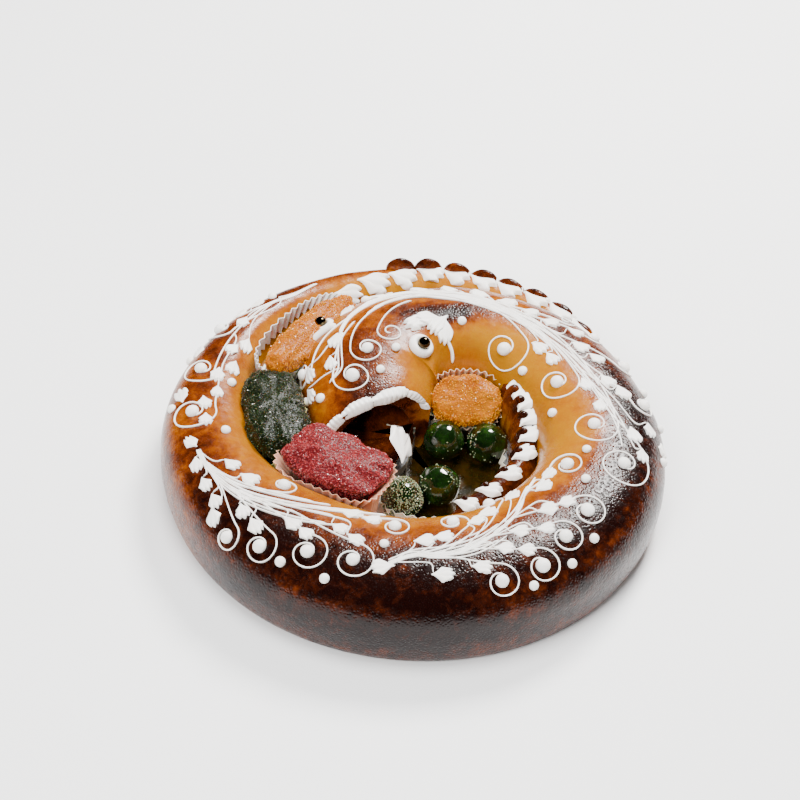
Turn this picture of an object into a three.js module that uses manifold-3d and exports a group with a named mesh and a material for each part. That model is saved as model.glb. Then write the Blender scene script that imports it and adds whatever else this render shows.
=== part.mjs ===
// A coiled marzipan eel with piped royal icing, and the candied fruits that fill its coil.
// Millimetres, +Z up. The coil's centre is over the origin, the eel's head faces -Y,
// and everything rests on z = 0.
import * as THREE from "three";
import Module from "manifold-3d";
import { mergeVertices } from "three/addons/utils/BufferGeometryUtils.js";

const wasm = await Module();
wasm.setup();

const RAD = Math.PI / 180;

// ---------------------------------------------------------------- driving dimensions

// The eel's centreline is a spiral. LIP_ANGLE is the plan angle of the upper lip, and a
// station's turn counts clockwise from there, seen from above.
const LIP_ANGLE = 150;
// turn, distance of the centreline from the coil's centre, half width, height, lean of the crest
const COIL = [
  [0, 24, 30, 43, 0],
  [22, 41, 34, 48, 0],
  [34, 57, 37, 51, 0],
  [46, 70, 35.5, 51, 0],
  [62, 82, 31, 51, 0],
  [75, 89, 29, 51, 0],
  [90, 92, 29.5, 51, 0],
  [106, 94, 32, 50, 0],
  [125, 95, 32.5, 49, 0],
  [150, 97.5, 33, 48, 0],
  [195, 95.5, 35, 47, 0],
  [240, 94.5, 35.5, 46, 0],
  [275, 95.5, 34, 45, 0],
  [294, 99, 30, 44, 0],
  [312, 103.5, 26, 43, 0],
  [330, 107, 24, 41, 0],
  [346, 111, 20.5, 40, 1],
  [360, 115, 16.5, 39, 2],
  [376, 118, 13.5, 38, 4],
  [420, 118, 12.5, 38, 8],
  [440, 118, 12, 38, 7],
  [458, 119, 11, 36, 6],
  [474, 119, 7, 28, 3],
];
const TAIL_END = 474;
const COIL_STEP = 12;       // degrees between two cross-sections
const DOME_SIDES = 10;      // facets over the top of a cross-section
const ROUNDNESS = 2.4;      // exponent of the dome's superellipse
const SHOULDER = 0.45;      // height of the widest level, as a share of the height
const FOOT = 0.88;          // width of the flat underside, as a share of the width

// The tail comes back inside the ring as a low strand: plan angle, radius, half width, height
const STRAND = [
  [44, 66.5, 7, 34],
  [36, 65, 8, 36],
  [27, 63.5, 8.5, 36],
  [18, 62, 8.5, 33],
  [9, 60, 8.5, 29.5],
  [-2, 57, 8.5, 26.5],
  [-18, 52, 8.2, 25],
  [-34, 48, 7.5, 23],
  [-51, 46, 6, 20.5],
  [-66, 46.5, 3, 14],
];

const MOUTH_DEPTH = 30;     // degrees of turn from the lip to the hinge of the jaws
const JAW_TIP_Y = -21;
// what stays free round the foot of the upper lip's inner corner: centre, semi-axes, turn,
// sides and rows
const LIP_CORNER = [[-2, 23, 0], [13, 9, 8], 0, 8, 6];

const LINE_WIDTH = 1.9;
const STEM_WIDTH = 2.4;
const LINE_RISE = 1.2;
const LINE_SINK = 0.7;
const LINE_STEP = 17;
const CURL_STEPS = 7;       // straight pieces in a curl's round part
const BALL = 3.4;           // radius of a curl's ball
const DOT = 2.8;            // radius of a loose dot
const LEAF = [9.5, 6.5];    // length and width
const LEAF_RISE = 1.7;      // height of a leaf's ridge over the skin
const LEAF_RIM = -0.6;      // its rim lies just under the skin
const LEAF_ROOT = -1.6;
const FIN_LEAF = [14.5, 10];
const STRAND_LEAF = [12, 8];
const BROW = [13, 7];

const GAP = 0.35;           // clearance between two pieces

const CHERRY_RADIUS = 11;
const PAPER = 0.8;          // wall of a paper case
const FLUTE_DEPTH = 1.4;    // from the crest of a case's fluting to its trough
const CASE_FOOT = 0.88;     // width of a case's floor, as a share of its rim, unless its row has its own
const FRUIT_SIDES = 12;     // facets round a fruit

// ---------------------------------------------------------------- materials

function finish(colour, roughness) {
  return new THREE.MeshStandardMaterial({ color: colour, roughness, metalness: 0 });
}
const MARZIPAN = finish(0xd98a2b, 0.32);
const BEAD = new THREE.MeshStandardMaterial({ color: 0x4a4336, roughness: 0.12, metalness: 0.9 });
const CHERRY = finish(0x1d3a14, 0.12);
const RED_FRUIT = finish(0xb23a3c, 0.6);
const GREEN_FRUIT = finish(0x3f5a38, 0.6);
const ORANGE_FRUIT = finish(0xe0862a, 0.6);
const PAPER_WHITE = finish(0xf1e9dc, 0.8);

// ---------------------------------------------------------------- solids from meshes

function signedVolume(positions, index) {
  let volume = 0;
  const a = new THREE.Vector3();
  const b = new THREE.Vector3();
  const c = new THREE.Vector3();
  for (let i = 0; i < index.length; i += 3) {
    a.fromArray(positions, 3 * index[i]);
    b.fromArray(positions, 3 * index[i + 1]);
    c.fromArray(positions, 3 * index[i + 2]);
    volume += a.dot(b.cross(c)) / 6;
  }
  return volume;
}

// a closed solid from a geometry, its faces turned outwards
function solid(geometry) {
  const bare = geometry.clone();
  bare.deleteAttribute("normal");
  bare.deleteAttribute("uv");
  const merged = mergeVertices(bare, 1e-4);
  const positions = merged.attributes.position.array;
  const index = Array.from(merged.index.array);
  if (signedVolume(positions, index) < 0) index.reverse();
  return new wasm.Manifold(new wasm.Mesh({
    numProp: 3,
    vertProperties: Float32Array.from(positions),
    triVerts: Uint32Array.from(index),
  }));
}

function geometryOf(manifold) {
  const mesh = manifold.getMesh();
  const geometry = new THREE.BufferGeometry();
  geometry.setAttribute("position", new THREE.BufferAttribute(mesh.vertProperties.slice(), 3));
  geometry.setIndex(new THREE.BufferAttribute(mesh.triVerts.slice(), 1));
  geometry.computeVertexNormals();
  return geometry;
}

// the largest body of a solid: scraps that a cut leaves are dropped
function mainBody(manifold) {
  const bodies = manifold.decompose();
  bodies.sort((a, b) => b.volume() - a.volume());
  return bodies[0];
}

// a skin through rings of equally many points, closed by a fan at each end, whose middle is
// the ring's own middle or a given tip
function loft(rings, firstTip, lastTip) {
  const count = rings[0].length;
  const positions = [];
  const index = [];
  for (const ring of rings) {
    for (const point of ring) positions.push(point.x, point.y, point.z);
  }
  for (let i = 0; i + 1 < rings.length; i++) {
    for (let j = 0; j < count; j++) {
      const a = i * count + j;
      const b = i * count + (j + 1) % count;
      index.push(a, a + count, b + count, a, b + count, b);
    }
  }
  const capEnd = (ring, first, flip, tip) => {
    const middle = positions.length / 3;
    const centre = tip ?? ring.reduce((sum, p) => sum.add(p), new THREE.Vector3()).divideScalar(count);
    positions.push(centre.x, centre.y, centre.z);
    for (let j = 0; j < count; j++) {
      const next = (j + 1) % count;
      if (flip) index.push(middle, first + next, first + j);
      else index.push(middle, first + j, first + next);
    }
  };
  capEnd(rings[0], 0, false, firstTip);
  capEnd(rings[rings.length - 1], (rings.length - 1) * count, true, lastTip);
  const geometry = new THREE.BufferGeometry();
  geometry.setAttribute("position", new THREE.Float32BufferAttribute(positions, 3));
  geometry.setIndex(index);
  return geometry;
}

// a smooth value between the rows of a table, keyed by the rows' first number
function between(rows, key, column) {
  const last = rows.length - 1;
  let i = 0;
  while (i < last - 1 && Math.abs(key - rows[0][0]) >= Math.abs(rows[i + 1][0] - rows[0][0])) i++;
  const slope = (k) => {
    const span = (m) => rows[m + 1][0] - rows[m][0];
    const rise = (m) => (rows[m + 1][column] - rows[m][column]) / span(m);
    if (k === 0) return rise(0);
    if (k === last) return rise(last - 1);
    return (rise(k - 1) * span(k) + rise(k) * span(k - 1)) / (span(k - 1) + span(k));
  };
  const width = rows[i + 1][0] - rows[i][0];
  const u = (key - rows[i][0]) / width;
  const u2 = u * u;
  const u3 = u2 * u;
  return (2 * u3 - 3 * u2 + 1) * rows[i][column] + (u3 - 2 * u2 + u) * width * slope(i)
    + (3 * u2 - 2 * u3) * rows[i + 1][column] + (u3 - u2) * width * slope(i + 1);
}

// ---------------------------------------------------------------- the coil's skin

function centreAt(turn) {
  const angle = (LIP_ANGLE - turn) * RAD;
  const radius = between(COIL, turn, 1);
  return new THREE.Vector3(radius * Math.cos(angle), radius * Math.sin(angle), 0);
}

// the outward direction across the body, level and square to the centreline
function outwardAt(turn) {
  const ahead = centreAt(turn + 0.5).sub(centreAt(turn - 0.5)).normalize();
  return new THREE.Vector3(-ahead.y, ahead.x, 0);
}

// A point of the skin. side is 0 on the crest, 1 on the outer shoulder and -1 on the inner one.
function skin(turn, side) {
  const halfWidth = between(COIL, turn, 2);
  const height = between(COIL, turn, 3);
  const lean = between(COIL, turn, 4);
  const shoulder = SHOULDER * height;
  const across = Math.sin(side * 90 * RAD);
  const up = Math.cos(side * 90 * RAD);
  const reach = (Math.abs(across) ** ROUNDNESS + Math.abs(up) ** ROUNDNESS) ** (-1 / ROUNDNESS);
  const rise = Math.max(0, reach * up);
  const offset = halfWidth * reach * across + lean * rise;
  return centreAt(turn).addScaledVector(outwardAt(turn), offset)
    .setZ(shoulder + (height - shoulder) * rise);
}

function skinNormal(turn, side) {
  const along = skin(turn + 0.5, side).sub(skin(turn - 0.5, side));
  const over = skin(turn, side + 0.01).sub(skin(turn, side - 0.01));
  return over.cross(along).normalize().multiplyScalar(-1);
}

// millimetres of skin per degree of turn, and per unit of side
const alongScale = (turn, side) => skin(turn + 0.5, side).distanceTo(skin(turn - 0.5, side));
const overScale = (turn, side) => skin(turn, side + 0.05).distanceTo(skin(turn, side - 0.05)) / 0.1;

function coilRing(turn, grow) {
  const ring = [];
  const out = outwardAt(turn);
  const halfWidth = between(COIL, turn, 2);
  const swell = 1 + grow / halfWidth;
  const centre = centreAt(turn);
  for (let j = 0; j <= DOME_SIDES; j++) {
    const point = skin(turn, 2 * j / DOME_SIDES - 1);
    const level = point.clone().setZ(0);
    level.sub(centre).multiplyScalar(swell).add(centre);
    ring.push(level.setZ(point.z + grow * point.z / between(COIL, turn, 3)));
  }
  ring.push(centre.clone().addScaledVector(out, halfWidth * FOOT + grow).setZ(-grow));
  ring.push(centre.clone().addScaledVector(out, -halfWidth * FOOT - grow).setZ(-grow));
  return ring;
}

function coil(grow) {
  const rings = [];
  if (grow > 0) rings.push(coilRing(-3 * grow, grow));
  const steps = Math.round(TAIL_END / COIL_STEP);
  for (let i = 0; i <= steps; i++) rings.push(coilRing(i / steps * TAIL_END, grow));
  return solid(loft(rings));
}

// ---------------------------------------------------------------- lumps, lobes and strands

// an egg-shaped lump: semi-axes along its own x, y and z, turned about z
function lump(centre, semiAxes, turnDegrees, around = 6, rows = 4) {
  const geometry = new THREE.SphereGeometry(1, around, rows);
  geometry.rotateX(90 * RAD);
  geometry.scale(...semiAxes);
  geometry.rotateZ(turnDegrees * RAD);
  geometry.translate(...centre);
  return solid(geometry);
}

function strand(grow) {
  const rings = [];
  const first = STRAND[0][0];
  const last = STRAND[STRAND.length - 1][0];
  const steps = 10;
  for (let i = 0; i <= steps; i++) {
    const angle = first + (last - first) * i / steps;
    const radius = between(STRAND, angle, 1);
    const halfWidth = between(STRAND, angle, 2) + grow;
    const height = between(STRAND, angle, 3) + grow;
    const ring = [];
    for (let j = 0; j <= 6; j++) {
      const a = (180 - 30 * j) * RAD;
      const across = halfWidth * Math.sign(Math.cos(a)) * Math.abs(Math.cos(a)) ** 0.8;
      const r = radius + across;
      const z = height * (0.35 + 0.65 * Math.sin(a));
      ring.push(new THREE.Vector3(r * Math.cos(angle * RAD), r * Math.sin(angle * RAD), z));
    }
    for (const foot of [0.9, -0.9]) {
      const r = radius + foot * halfWidth;
      ring.push(new THREE.Vector3(r * Math.cos(angle * RAD), r * Math.sin(angle * RAD), 0));
    }
    rings.push(ring);
  }
  return solid(loft(rings));
}

// plan angles of the strand's pinched lobes, in front of which its icing leaves lie
const STRAND_LOBES = [35, 27, 18.5, 10, -1, -17, -33, -50];
// A lobe's half length along the strand, its half width across it, and how far its middle
// lies inside the strand's middle. Each lobe is smaller than the one before by the share.
const STRAND_LOBE = { along: 5.8, across: 6.4, inset: 2.8, share: 0.05 };

function strandLobes(grow) {
  return STRAND_LOBES.map((angle, i) => {
    const { along, across, inset, share } = STRAND_LOBE;
    const size = 1 - share * i;
    const radius = between(STRAND, angle, 1) - inset;
    const height = between(STRAND, angle, 3);
    const centre = [radius * Math.cos(angle * RAD), radius * Math.sin(angle * RAD), 0.56 * height];
    return lump(centre, [across * size + grow, along * size + grow, 0.54 * height + grow], angle);
  });
}

// The fin: pinched lobes along the tail's outer edge, the tallest near the first one, and the
// places of the icing leaves in front of them, whose heading is the same for all.
const FIN_LOBES = [414, 421, 428, 435, 442, 449, 456, 463];
const FIN_LOBE_SIDE = 0.3;
const FIN_LOBE = { across: 3.8, along: 8.2, up: 8.5, tallest: 421, sink: 1 };
const FIN_LEAF_HEADING = -12;
const FIN_LEAVES = [
  [401, -0.52], [408.5, -0.34], [416, -0.23], [423, -0.07], [429.5, 0.03], [436.5, 0.05],
  [443.5, 0.03], [451, 0.02], [458, 0.08], [465, 0.1],
];

function finLobes() {
  return FIN_LOBES.map((turn) => {
    const edge = skin(turn, FIN_LOBE_SIDE);
    const height = FIN_LOBE.up - 0.11 * Math.abs(turn - FIN_LOBE.tallest);
    edge.z -= FIN_LOBE.sink;
    return lump(edge.toArray(), [FIN_LOBE.across, FIN_LOBE.along, height], LIP_ANGLE - turn);
  });
}

// ---------------------------------------------------------------- the head

// The space between the jaws: a wedge that opens from the hinge to past the lip.
function mouth() {
  const rings = [];
  const steps = 6;
  for (let i = 0; i <= steps; i++) {
    const share = i / steps;
    const turn = MOUTH_DEPTH * (1 - share);
    const centre = centreAt(turn);
    const out = outwardAt(turn);
    const halfWidth = 12 + 14.8 * share;
    const roof = 28 + 11 * share;
    const bed = 24 - 13 * share;
    const ring = [];
    for (let j = 0; j < 12; j++) {
      const a = j * 30 * RAD;
      const z = Math.sin(a) > 0 ? bed + (roof - bed) * Math.sin(a) : bed + 8 * share * Math.sin(a);
      ring.push(centre.clone().addScaledVector(out, halfWidth * Math.cos(a)).setZ(z));
    }
    rings.push(ring);
  }
  const lipRing = rings[rings.length - 1];
  rings.push(lipRing.map((p) => p.clone().add(new THREE.Vector3(0, -45, 0))));
  return solid(loft(rings));
}

// y, half width of the lower jaw at its rim, height of the rim
const JAW = [
  [22, 23, 20],
  [12, 22, 24],
  [0, 19.5, 25],
  [-10, 15, 22],
  [-17, 9.5, 18],
  [JAW_TIP_Y, 3.5, 13],
];
const JAW_X = -24;

function lowerJaw(grow) {
  const ringAt = ([row, rimHalfWidth, rim], i) => {
    const y = i === JAW.length - 1 ? row - grow : row;
    const halfWidth = rimHalfWidth + grow;
    const ring = [];
    for (let j = 0; j <= 6; j++) {
      const a = (180 - 30 * j) * RAD;
      const dip = 0.9 * Math.sin(a);
      ring.push(new THREE.Vector3(JAW_X + halfWidth * Math.cos(a), y, rim * (1 - 0.62 * dip)));
    }
    for (const [across, up] of [[0.4, 0.45], [0.25, 0], [-0.25, 0], [-0.4, 0.45]]) {
      const x = across * rimHalfWidth + Math.sign(across) * grow;
      ring.push(new THREE.Vector3(JAW_X + x, y, up * rim));
    }
    return ring;
  };
  return solid(loft(JAW.map(ringAt)));
}

// ---------------------------------------------------------------- piped icing

// a ridge of icing through points {turn, side} of the skin, pressed into it
function pipedLine(path, grow, width = LINE_WIDTH, rise = LINE_RISE) {
  const rings = path.map((at, i) => {
    const here = skin(at.turn, at.side);
    const before = path[Math.max(0, i - 1)];
    const after = path[Math.min(path.length - 1, i + 1)];
    const ahead = skin(after.turn, after.side).sub(skin(before.turn, before.side)).normalize();
    const normal = skinNormal(at.turn, at.side);
    const beside = normal.clone().cross(ahead).normalize();
    const corner = (over, up) => here.clone().addScaledVector(beside, over * (width / 2 + grow))
      .addScaledVector(normal, up);
    return [corner(-1, -LINE_SINK - grow), corner(1, -LINE_SINK - grow), corner(0, rise + grow)];
  });
  return solid(loft(rings));
}

// a flattened dome of icing on the skin, with a small peak
function pipedDot(at, radius, sides = 5) {
  const frame = skinFrame(at);
  const peak = frame.here.clone().addScaledVector(frame.normal, 0.95 * radius);
  const foot = skinRing(frame, radius, -0.3 * radius, sides);
  const brow = skinRing(frame, 0.8 * radius, 0.55 * radius, sides);
  return solid(loft([foot, brow], null, peak));
}

// An icing leaf: a pointed tail that widens to a blunt three-lobed end. heading is the
// direction from tail to end: 0 along the body towards the tail, 90 outwards.
function pipedLeaf(frame, heading, size, grow) {
  const [length, width] = size.map((extent) => extent + 2 * grow);
  const { here, normal, along, over } = frame;
  const a = heading * RAD;
  const ahead = along.clone().multiplyScalar(Math.cos(a)).addScaledVector(over, Math.sin(a));
  const beside = normal.clone().cross(ahead);
  // distance ahead and beside, as shares of length and width
  const outline = [[-0.75, 0], [0, -0.42], [0.5, -0.62], [0.42, 0], [0.5, 0.62], [0, 0.42]];
  const rimAt = (up) => outline.map(([x, y]) => here.clone()
    .addScaledVector(ahead, x * length)
    .addScaledVector(beside, y * width)
    .addScaledVector(normal, up));
  const rims = grow > 0 ? [rimAt(LEAF_RIM - grow), rimAt(LEAF_RIM + grow)] : [rimAt(LEAF_RIM)];
  const ridge = here.clone().addScaledVector(ahead, 0.15 * length).addScaledVector(normal, LEAF_RISE + grow);
  const root = here.clone().addScaledVector(normal, LEAF_ROOT - grow);
  return solid(loft(rims, root, ridge));
}

function skinFrame(at) {
  const here = skin(at.turn, at.side);
  const normal = skinNormal(at.turn, at.side);
  const along = skin(at.turn + 0.5, at.side).sub(skin(at.turn - 0.5, at.side)).normalize();
  const over = along.clone().cross(normal).multiplyScalar(-1);
  if (over.dot(outwardAt(at.turn)) < 0) over.negate();
  return { here, normal, along, over };
}

// a ring of points round a place on the skin
function skinRing(frame, radius, up, sides) {
  const { here, normal, along, over } = frame;
  return Array.from({ length: sides }, (_, j) => {
    const a = (j + 0.5) / sides * 2 * Math.PI;
    return here.clone().addScaledVector(along, radius * Math.cos(a))
      .addScaledVector(over, radius * Math.sin(a)).addScaledVector(normal, up);
  });
}

// A curl: from its ball a spiral grows to its radius, and leaves towards its root.
// hand is 1 where the spiral grows anticlockwise, seen from outside with +along to the right.
function curl(ball, radius, hand, root, rootHeading, grow) {
  const [turn0, side0] = ball;
  const perTurn = alongScale(turn0, side0);
  const perSide = overScale(turn0, side0);
  const target = { x: (root[0] - turn0) * perTurn, y: (root[1] - side0) * perSide };
  const distance = Math.hypot(target.x, target.y);
  const bearing = Math.atan2(target.y, target.x);
  const leave = bearing - hand * Math.acos(Math.min(1, radius / Math.max(distance, radius)));
  const flat = [];
  for (let i = 0; i <= CURL_STEPS; i++) {
    const share = i / CURL_STEPS;
    const a = leave - hand * (1 - share) * 2 * Math.PI;
    const r = BALL * 0.5 + (radius - BALL * 0.5) * share ** 0.7;
    flat.push({ x: r * Math.cos(a), y: r * Math.sin(a) });
  }
  const from = flat[flat.length - 1];
  const gone = Math.hypot(target.x - from.x, target.y - from.y);
  const out = { x: -hand * Math.sin(leave), y: hand * Math.cos(leave) };
  const arrive = { x: Math.cos(rootHeading * RAD), y: Math.sin(rootHeading * RAD) };
  const tailSteps = Math.max(1, Math.round(gone / LINE_STEP));
  for (let i = 1; i <= tailSteps; i++) {
    const u = i / tailSteps;
    const u2 = u * u;
    const u3 = u2 * u;
    const blendOf = (p0, t0, p1, t1) => (2 * u3 - 3 * u2 + 1) * p0 + (u3 - 2 * u2 + u) * gone * t0
      + (3 * u2 - 2 * u3) * p1 + (u3 - u2) * gone * t1;
    flat.push({ x: blendOf(from.x, out.x, target.x, arrive.x), y: blendOf(from.y, out.y, target.y, arrive.y) });
  }
  const path = flat.map((p) => ({ turn: turn0 + p.x / perTurn, side: side0 + p.y / perSide }));
  return [pipedLine(path, grow), pipedDot({ turn: turn0, side: side0 }, BALL + grow, 6)];
}

// a stem that runs along the body through a few places [turn, side]
function stem(places, grow) {
  const path = [];
  for (let i = 0; i + 1 < places.length; i++) {
    const [turnA, sideA] = places[i];
    const [turnB, sideB] = places[i + 1];
    const length = skin(turnA, sideA).distanceTo(skin(turnB, sideB));
    const steps = Math.max(1, Math.round(length / LINE_STEP));
    for (let k = 0; k < steps; k++) {
      const u = k / steps;
      path.push({ turn: turnA + (turnB - turnA) * u, side: sideA + (sideB - sideA) * u });
    }
  }
  const [turn, side] = places[places.length - 1];
  path.push({ turn, side });
  return pipedLine(path, grow, STEM_WIDTH);
}

// Each spray of the ornament: its stems, curls, dots and leaves.
// curls: [ball turn, ball side, radius, hand, root turn, root side, root heading]
// dots: [turn, side]; leaves: [turn, side, heading]
const SPRAYS = [
  { // over the neck and along the right
    stems: [
      [[35, 0.31], [57, 0.34], [70, 0.12], [94, 0], [114, -0.06], [138, 0], [155, 0.12]],
      [[50, 0.4], [68, 0.24], [84, 0.13]],
    ],
    curls: [
      [97, -0.44, 13, 1, 80, 0.02, 180],
      [126, -0.31, 11, 1, 104, -0.04, 180],
      [150, -0.12, 12.5, 1, 124, -0.02, 180],
      [164, 0.22, 14, 1, 142, 0.04, 180],
      [124, 0.56, 6.5, -1, 106, 0.1, 180],
    ],
    dots: [[74, -0.28], [111, -0.5], [138, -0.5]],
    leaves: [[109, -0.19, 0], [116, -0.19, -10], [132, -0.06, 0], [116, 0.18, 20],
      [137, 0.27, 10], [153, 0.27, 10], [159, 0.38, 10]],
  },
  { // front right
    stems: [
      [[245, 0.2], [238, 0.08], [226, 0.06], [212, -0.1], [200, -0.25], [190, -0.41]],
    ],
    curls: [
      [217, 0.42, 9, 1, 230, 0.1, 0],
      [206, 0.4, 9.5, 1, 222, 0.05, 0],
      [196, 0.26, 9.5, 1, 213, -0.06, 0],
      [185, 0.19, 10, 1, 203, -0.2, 0],
      [171, -0.27, 8.5, 1, 190, -0.41, -30],
    ],
    dots: [[199, 0.5], [210, 0.54], [162, -0.16], [175, -0.03]],
    leaves: [[230, 0.28, 170], [212, 0.15, 160], [198, 0.1, 160],
      [184, -0.33, 170], [194, -0.5, 190], [228, -0.16, 190],
      [247, 0.26, 10]],
  },
  { // front left
    stems: [
      [[314, 0.22], [305, 0.19], [294, 0.09], [282, -0.09], [264, -0.34], [250, -0.5]],
    ],
    curls: [
      [278, 0.44, 9, 1, 295, 0.13, 0],
      [266, 0.28, 10, 1, 286, 0, 0],
      [254, 0.22, 10.5, 1, 274, -0.16, 0],
    ],
    dots: [[271, 0.47], [259, 0.46]],
    leaves: [[302, 0.34, 170], [296, 0.38, 160], [288, 0.26, 160],
      [304, -0.06, 200], [256, -0.4, 190], [318, 0.28, 20]],
  },
  { // a chain of scrolls on the left
    stems: [[[392, 0.03], [385, -0.09], [379, 0], [373, 0.1]]],
    curls: [
      [363, 0.4, 8.5, 1, 381, 0.05, 90],
      [346, 0.19, 10, 1, 361, 0, 90],
      [329, 0.2, 12, 1, 345, 0.0, 90],
    ],
    dots: [[352, 0.62], [343, -0.38]],
    leaves: [[371, 0.48, 10], [356, -0.2, 170], [355, 0.42, 10],
      [337, -0.14, 180]],
  },
  { // on the head
    stems: [[[35, 0.31], [28, 0.28], [22, 0.3], [17, 0.42]]],
    curls: [
      [27, 0.66, 7, 1, 40, 0.34, 0],
      [18, 0.18, 10.5, -1, 34, 0.28, 0],
      [31, 0.03, 9, -1, 46, 0.24, 0],
    ],
    dots: [[12, 0.56], [21, -0.1]],
    leaves: [[25, 0.42, 170]],
  },
];

// The icing band along the upper lip: sides of the skin between which it runs, at the lip.
const LIP_BAND = { from: -0.72, to: 0.77, pieces: 8, width: 5.5, rise: 1.8 };

function lipBand(grow) {
  const { from, to, pieces, width, rise } = LIP_BAND;
  const path = [];
  for (let i = 0; i <= pieces; i++) {
    path.push({ turn: 2.2, side: from + (to - from) * i / pieces });
  }
  return pipedLine(path, grow, width, rise);
}

const JAW_LEAF = {
  size: [16, 7],
  here: new THREE.Vector3(-5.5, 2, 23.5),
  normal: new THREE.Vector3(0.75, 0, 0.66).normalize(),
  along: new THREE.Vector3(0, 1, 0),
  over: new THREE.Vector3(0.66, 0, -0.75).normalize(),
};

// The eyes: a ring of icing round a bead. A tilt turns an eye from the skin's normal towards +Z.
// The brow is a row of leaves by the near eye, and a bar of icing by the far one.
const EYES = [
  { at: { turn: 45, side: -0.41 }, tilt: 0, brow: [[53, -0.16, 200], [56, -0.42, 260]] },
  { at: { turn: 39, side: 0.64 }, tilt: 0.9, brow: [] },
];
const BROW_BAR = { path: [[33.5, 0.78], [35, 0.62], [37.5, 0.45]], width: 4.5, rise: 2.6 };
const EYE_RING = 6.6;
const EYE_RISE = 3.2;
const BEAD_RADIUS = 3.4;

function eyeFrame({ at, tilt }) {
  const { here, normal, along } = skinFrame(at);
  normal.z += tilt;
  normal.normalize();
  along.addScaledVector(normal, -along.dot(normal)).normalize();
  const over = normal.clone().cross(along);
  if (over.dot(outwardAt(at.turn)) < 0) over.negate();
  return { here, normal, along, over };
}

function eyeRing(eye, grow) {
  const frame = eyeFrame(eye);
  const rings = [
    skinRing(frame, EYE_RING + grow, -2, 9),
    skinRing(frame, EYE_RING + grow, 0.4 * EYE_RISE, 9),
    skinRing(frame, 0.78 * EYE_RING + grow, EYE_RISE + grow, 9),
  ];
  const pit = frame.here.clone().addScaledVector(frame.normal, EYE_RISE + grow);
  return solid(loft(rings, null, pit));
}

function bead(eye, grow) {
  const { here, normal } = eyeFrame(eye);
  const geometry = new THREE.SphereGeometry(BEAD_RADIUS + grow, 7, 5);
  const centre = here.clone().addScaledVector(normal, EYE_RISE + 0.2 * BEAD_RADIUS);
  geometry.translate(centre.x, centre.y, centre.z);
  return solid(geometry);
}

// leaves of icing along the fin, and on each lobe of the strand
function finLeaves(grow) {
  return FIN_LEAVES.map(([turn, side]) => {
    return pipedLeaf(skinFrame({ turn, side }), FIN_LEAF_HEADING, FIN_LEAF, grow);
  });
}

function strandLeaves(grow) {
  return STRAND_LOBES.map((angle) => {
    const radius = between(STRAND, angle, 1) + 1;
    const out = new THREE.Vector3(Math.cos(angle * RAD), Math.sin(angle * RAD), 0);
    const here = out.clone().multiplyScalar(radius).setZ(between(STRAND, angle, 3));
    const normal = new THREE.Vector3(0, 0, 1);
    const along = new THREE.Vector3(out.y, -out.x, 0);
    return pipedLeaf({ here, normal, along, over: out }, 150, STRAND_LEAF, grow);
  });
}

// the icing leaf that hangs over the near side of the lower jaw's rim
function jawLeaf(grow) {
  const { size, ...frame } = JAW_LEAF;
  return pipedLeaf(frame, 0, size, grow);
}

// all the icing, each piece grown by grow
function ornament(grow) {
  const pieces = [];
  for (const spray of SPRAYS) {
    for (const places of spray.stems) pieces.push(stem(places, grow));
    for (const [turn, side, radius, hand, rootTurn, rootSide, heading] of spray.curls) {
      pieces.push(...curl([turn, side], radius, hand, [rootTurn, rootSide], heading, grow));
    }
    for (const [turn, side] of spray.dots) pieces.push(pipedDot({ turn, side }, DOT + grow));
    for (const [turn, side, heading] of spray.leaves) {
      pieces.push(pipedLeaf(skinFrame({ turn, side }), heading, LEAF, grow));
    }
  }
  for (const eye of EYES) {
    pieces.push(eyeRing(eye, grow));
    for (const [turn, side, heading] of eye.brow) {
      pieces.push(pipedLeaf(skinFrame({ turn, side }), heading, BROW, grow));
    }
  }
  const bar = BROW_BAR.path.map(([turn, side]) => ({ turn, side }));
  pieces.push(pipedLine(bar, grow, BROW_BAR.width, BROW_BAR.rise));
  pieces.push(lipBand(grow), jawLeaf(grow), ...finLeaves(grow), ...strandLeaves(grow));
  return pieces;
}

// ---------------------------------------------------------------- candied fruits and paper cases

// A ring of a case's oval at a height, in the case's own frame. scale and inset shrink it.
function ovalRing(row, sides, scale, inset, z, flute = 0) {
  const squareness = row.squareness ?? 2.4;
  return Array.from({ length: sides }, (_, j) => {
    const a = j / sides * 2 * Math.PI;
    const c = Math.cos(a);
    const s = Math.sin(a);
    const reach = (Math.abs(c) ** squareness + Math.abs(s) ** squareness) ** (-1 / squareness);
    const [rx, ry] = row.size.map((r) => r * scale - inset + (j % 2 ? flute : -flute));
    return new THREE.Vector3(rx * reach * c, ry * reach * s, z);
  });
}

// from a case's own frame to its place
function placed(geometry, row) {
  geometry.rotateX((row.tip ?? 0) * RAD);
  geometry.rotateY((row.pitch ?? 0) * RAD);
  geometry.rotateZ((row.turn ?? 0) * RAD);
  geometry.translate(...row.at);
  return solid(geometry);
}

// A fluted paper case: an open oval cup with a zigzag wall. A waist [scale, z] makes it flare
// above that height.
function paperCase(row) {
  const { height, foot = CASE_FOOT, waist } = row;
  const ringAt = (scale, inset, z) => ovalRing(row, 2 * row.pleats, scale, inset, z, FLUTE_DEPTH / 2);
  const rings = [
    ringAt(foot, 0, 0),
    ringAt(1, 0, height),
    ringAt(1, PAPER, height),
    ringAt(foot, PAPER, PAPER),
  ];
  if (waist) {
    rings.splice(3, 0, ringAt(waist[0], PAPER, waist[1]));
    rings.splice(1, 0, ringAt(waist[0], 0, waist[1]));
  }
  return placed(loft(rings), row);
}

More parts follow.
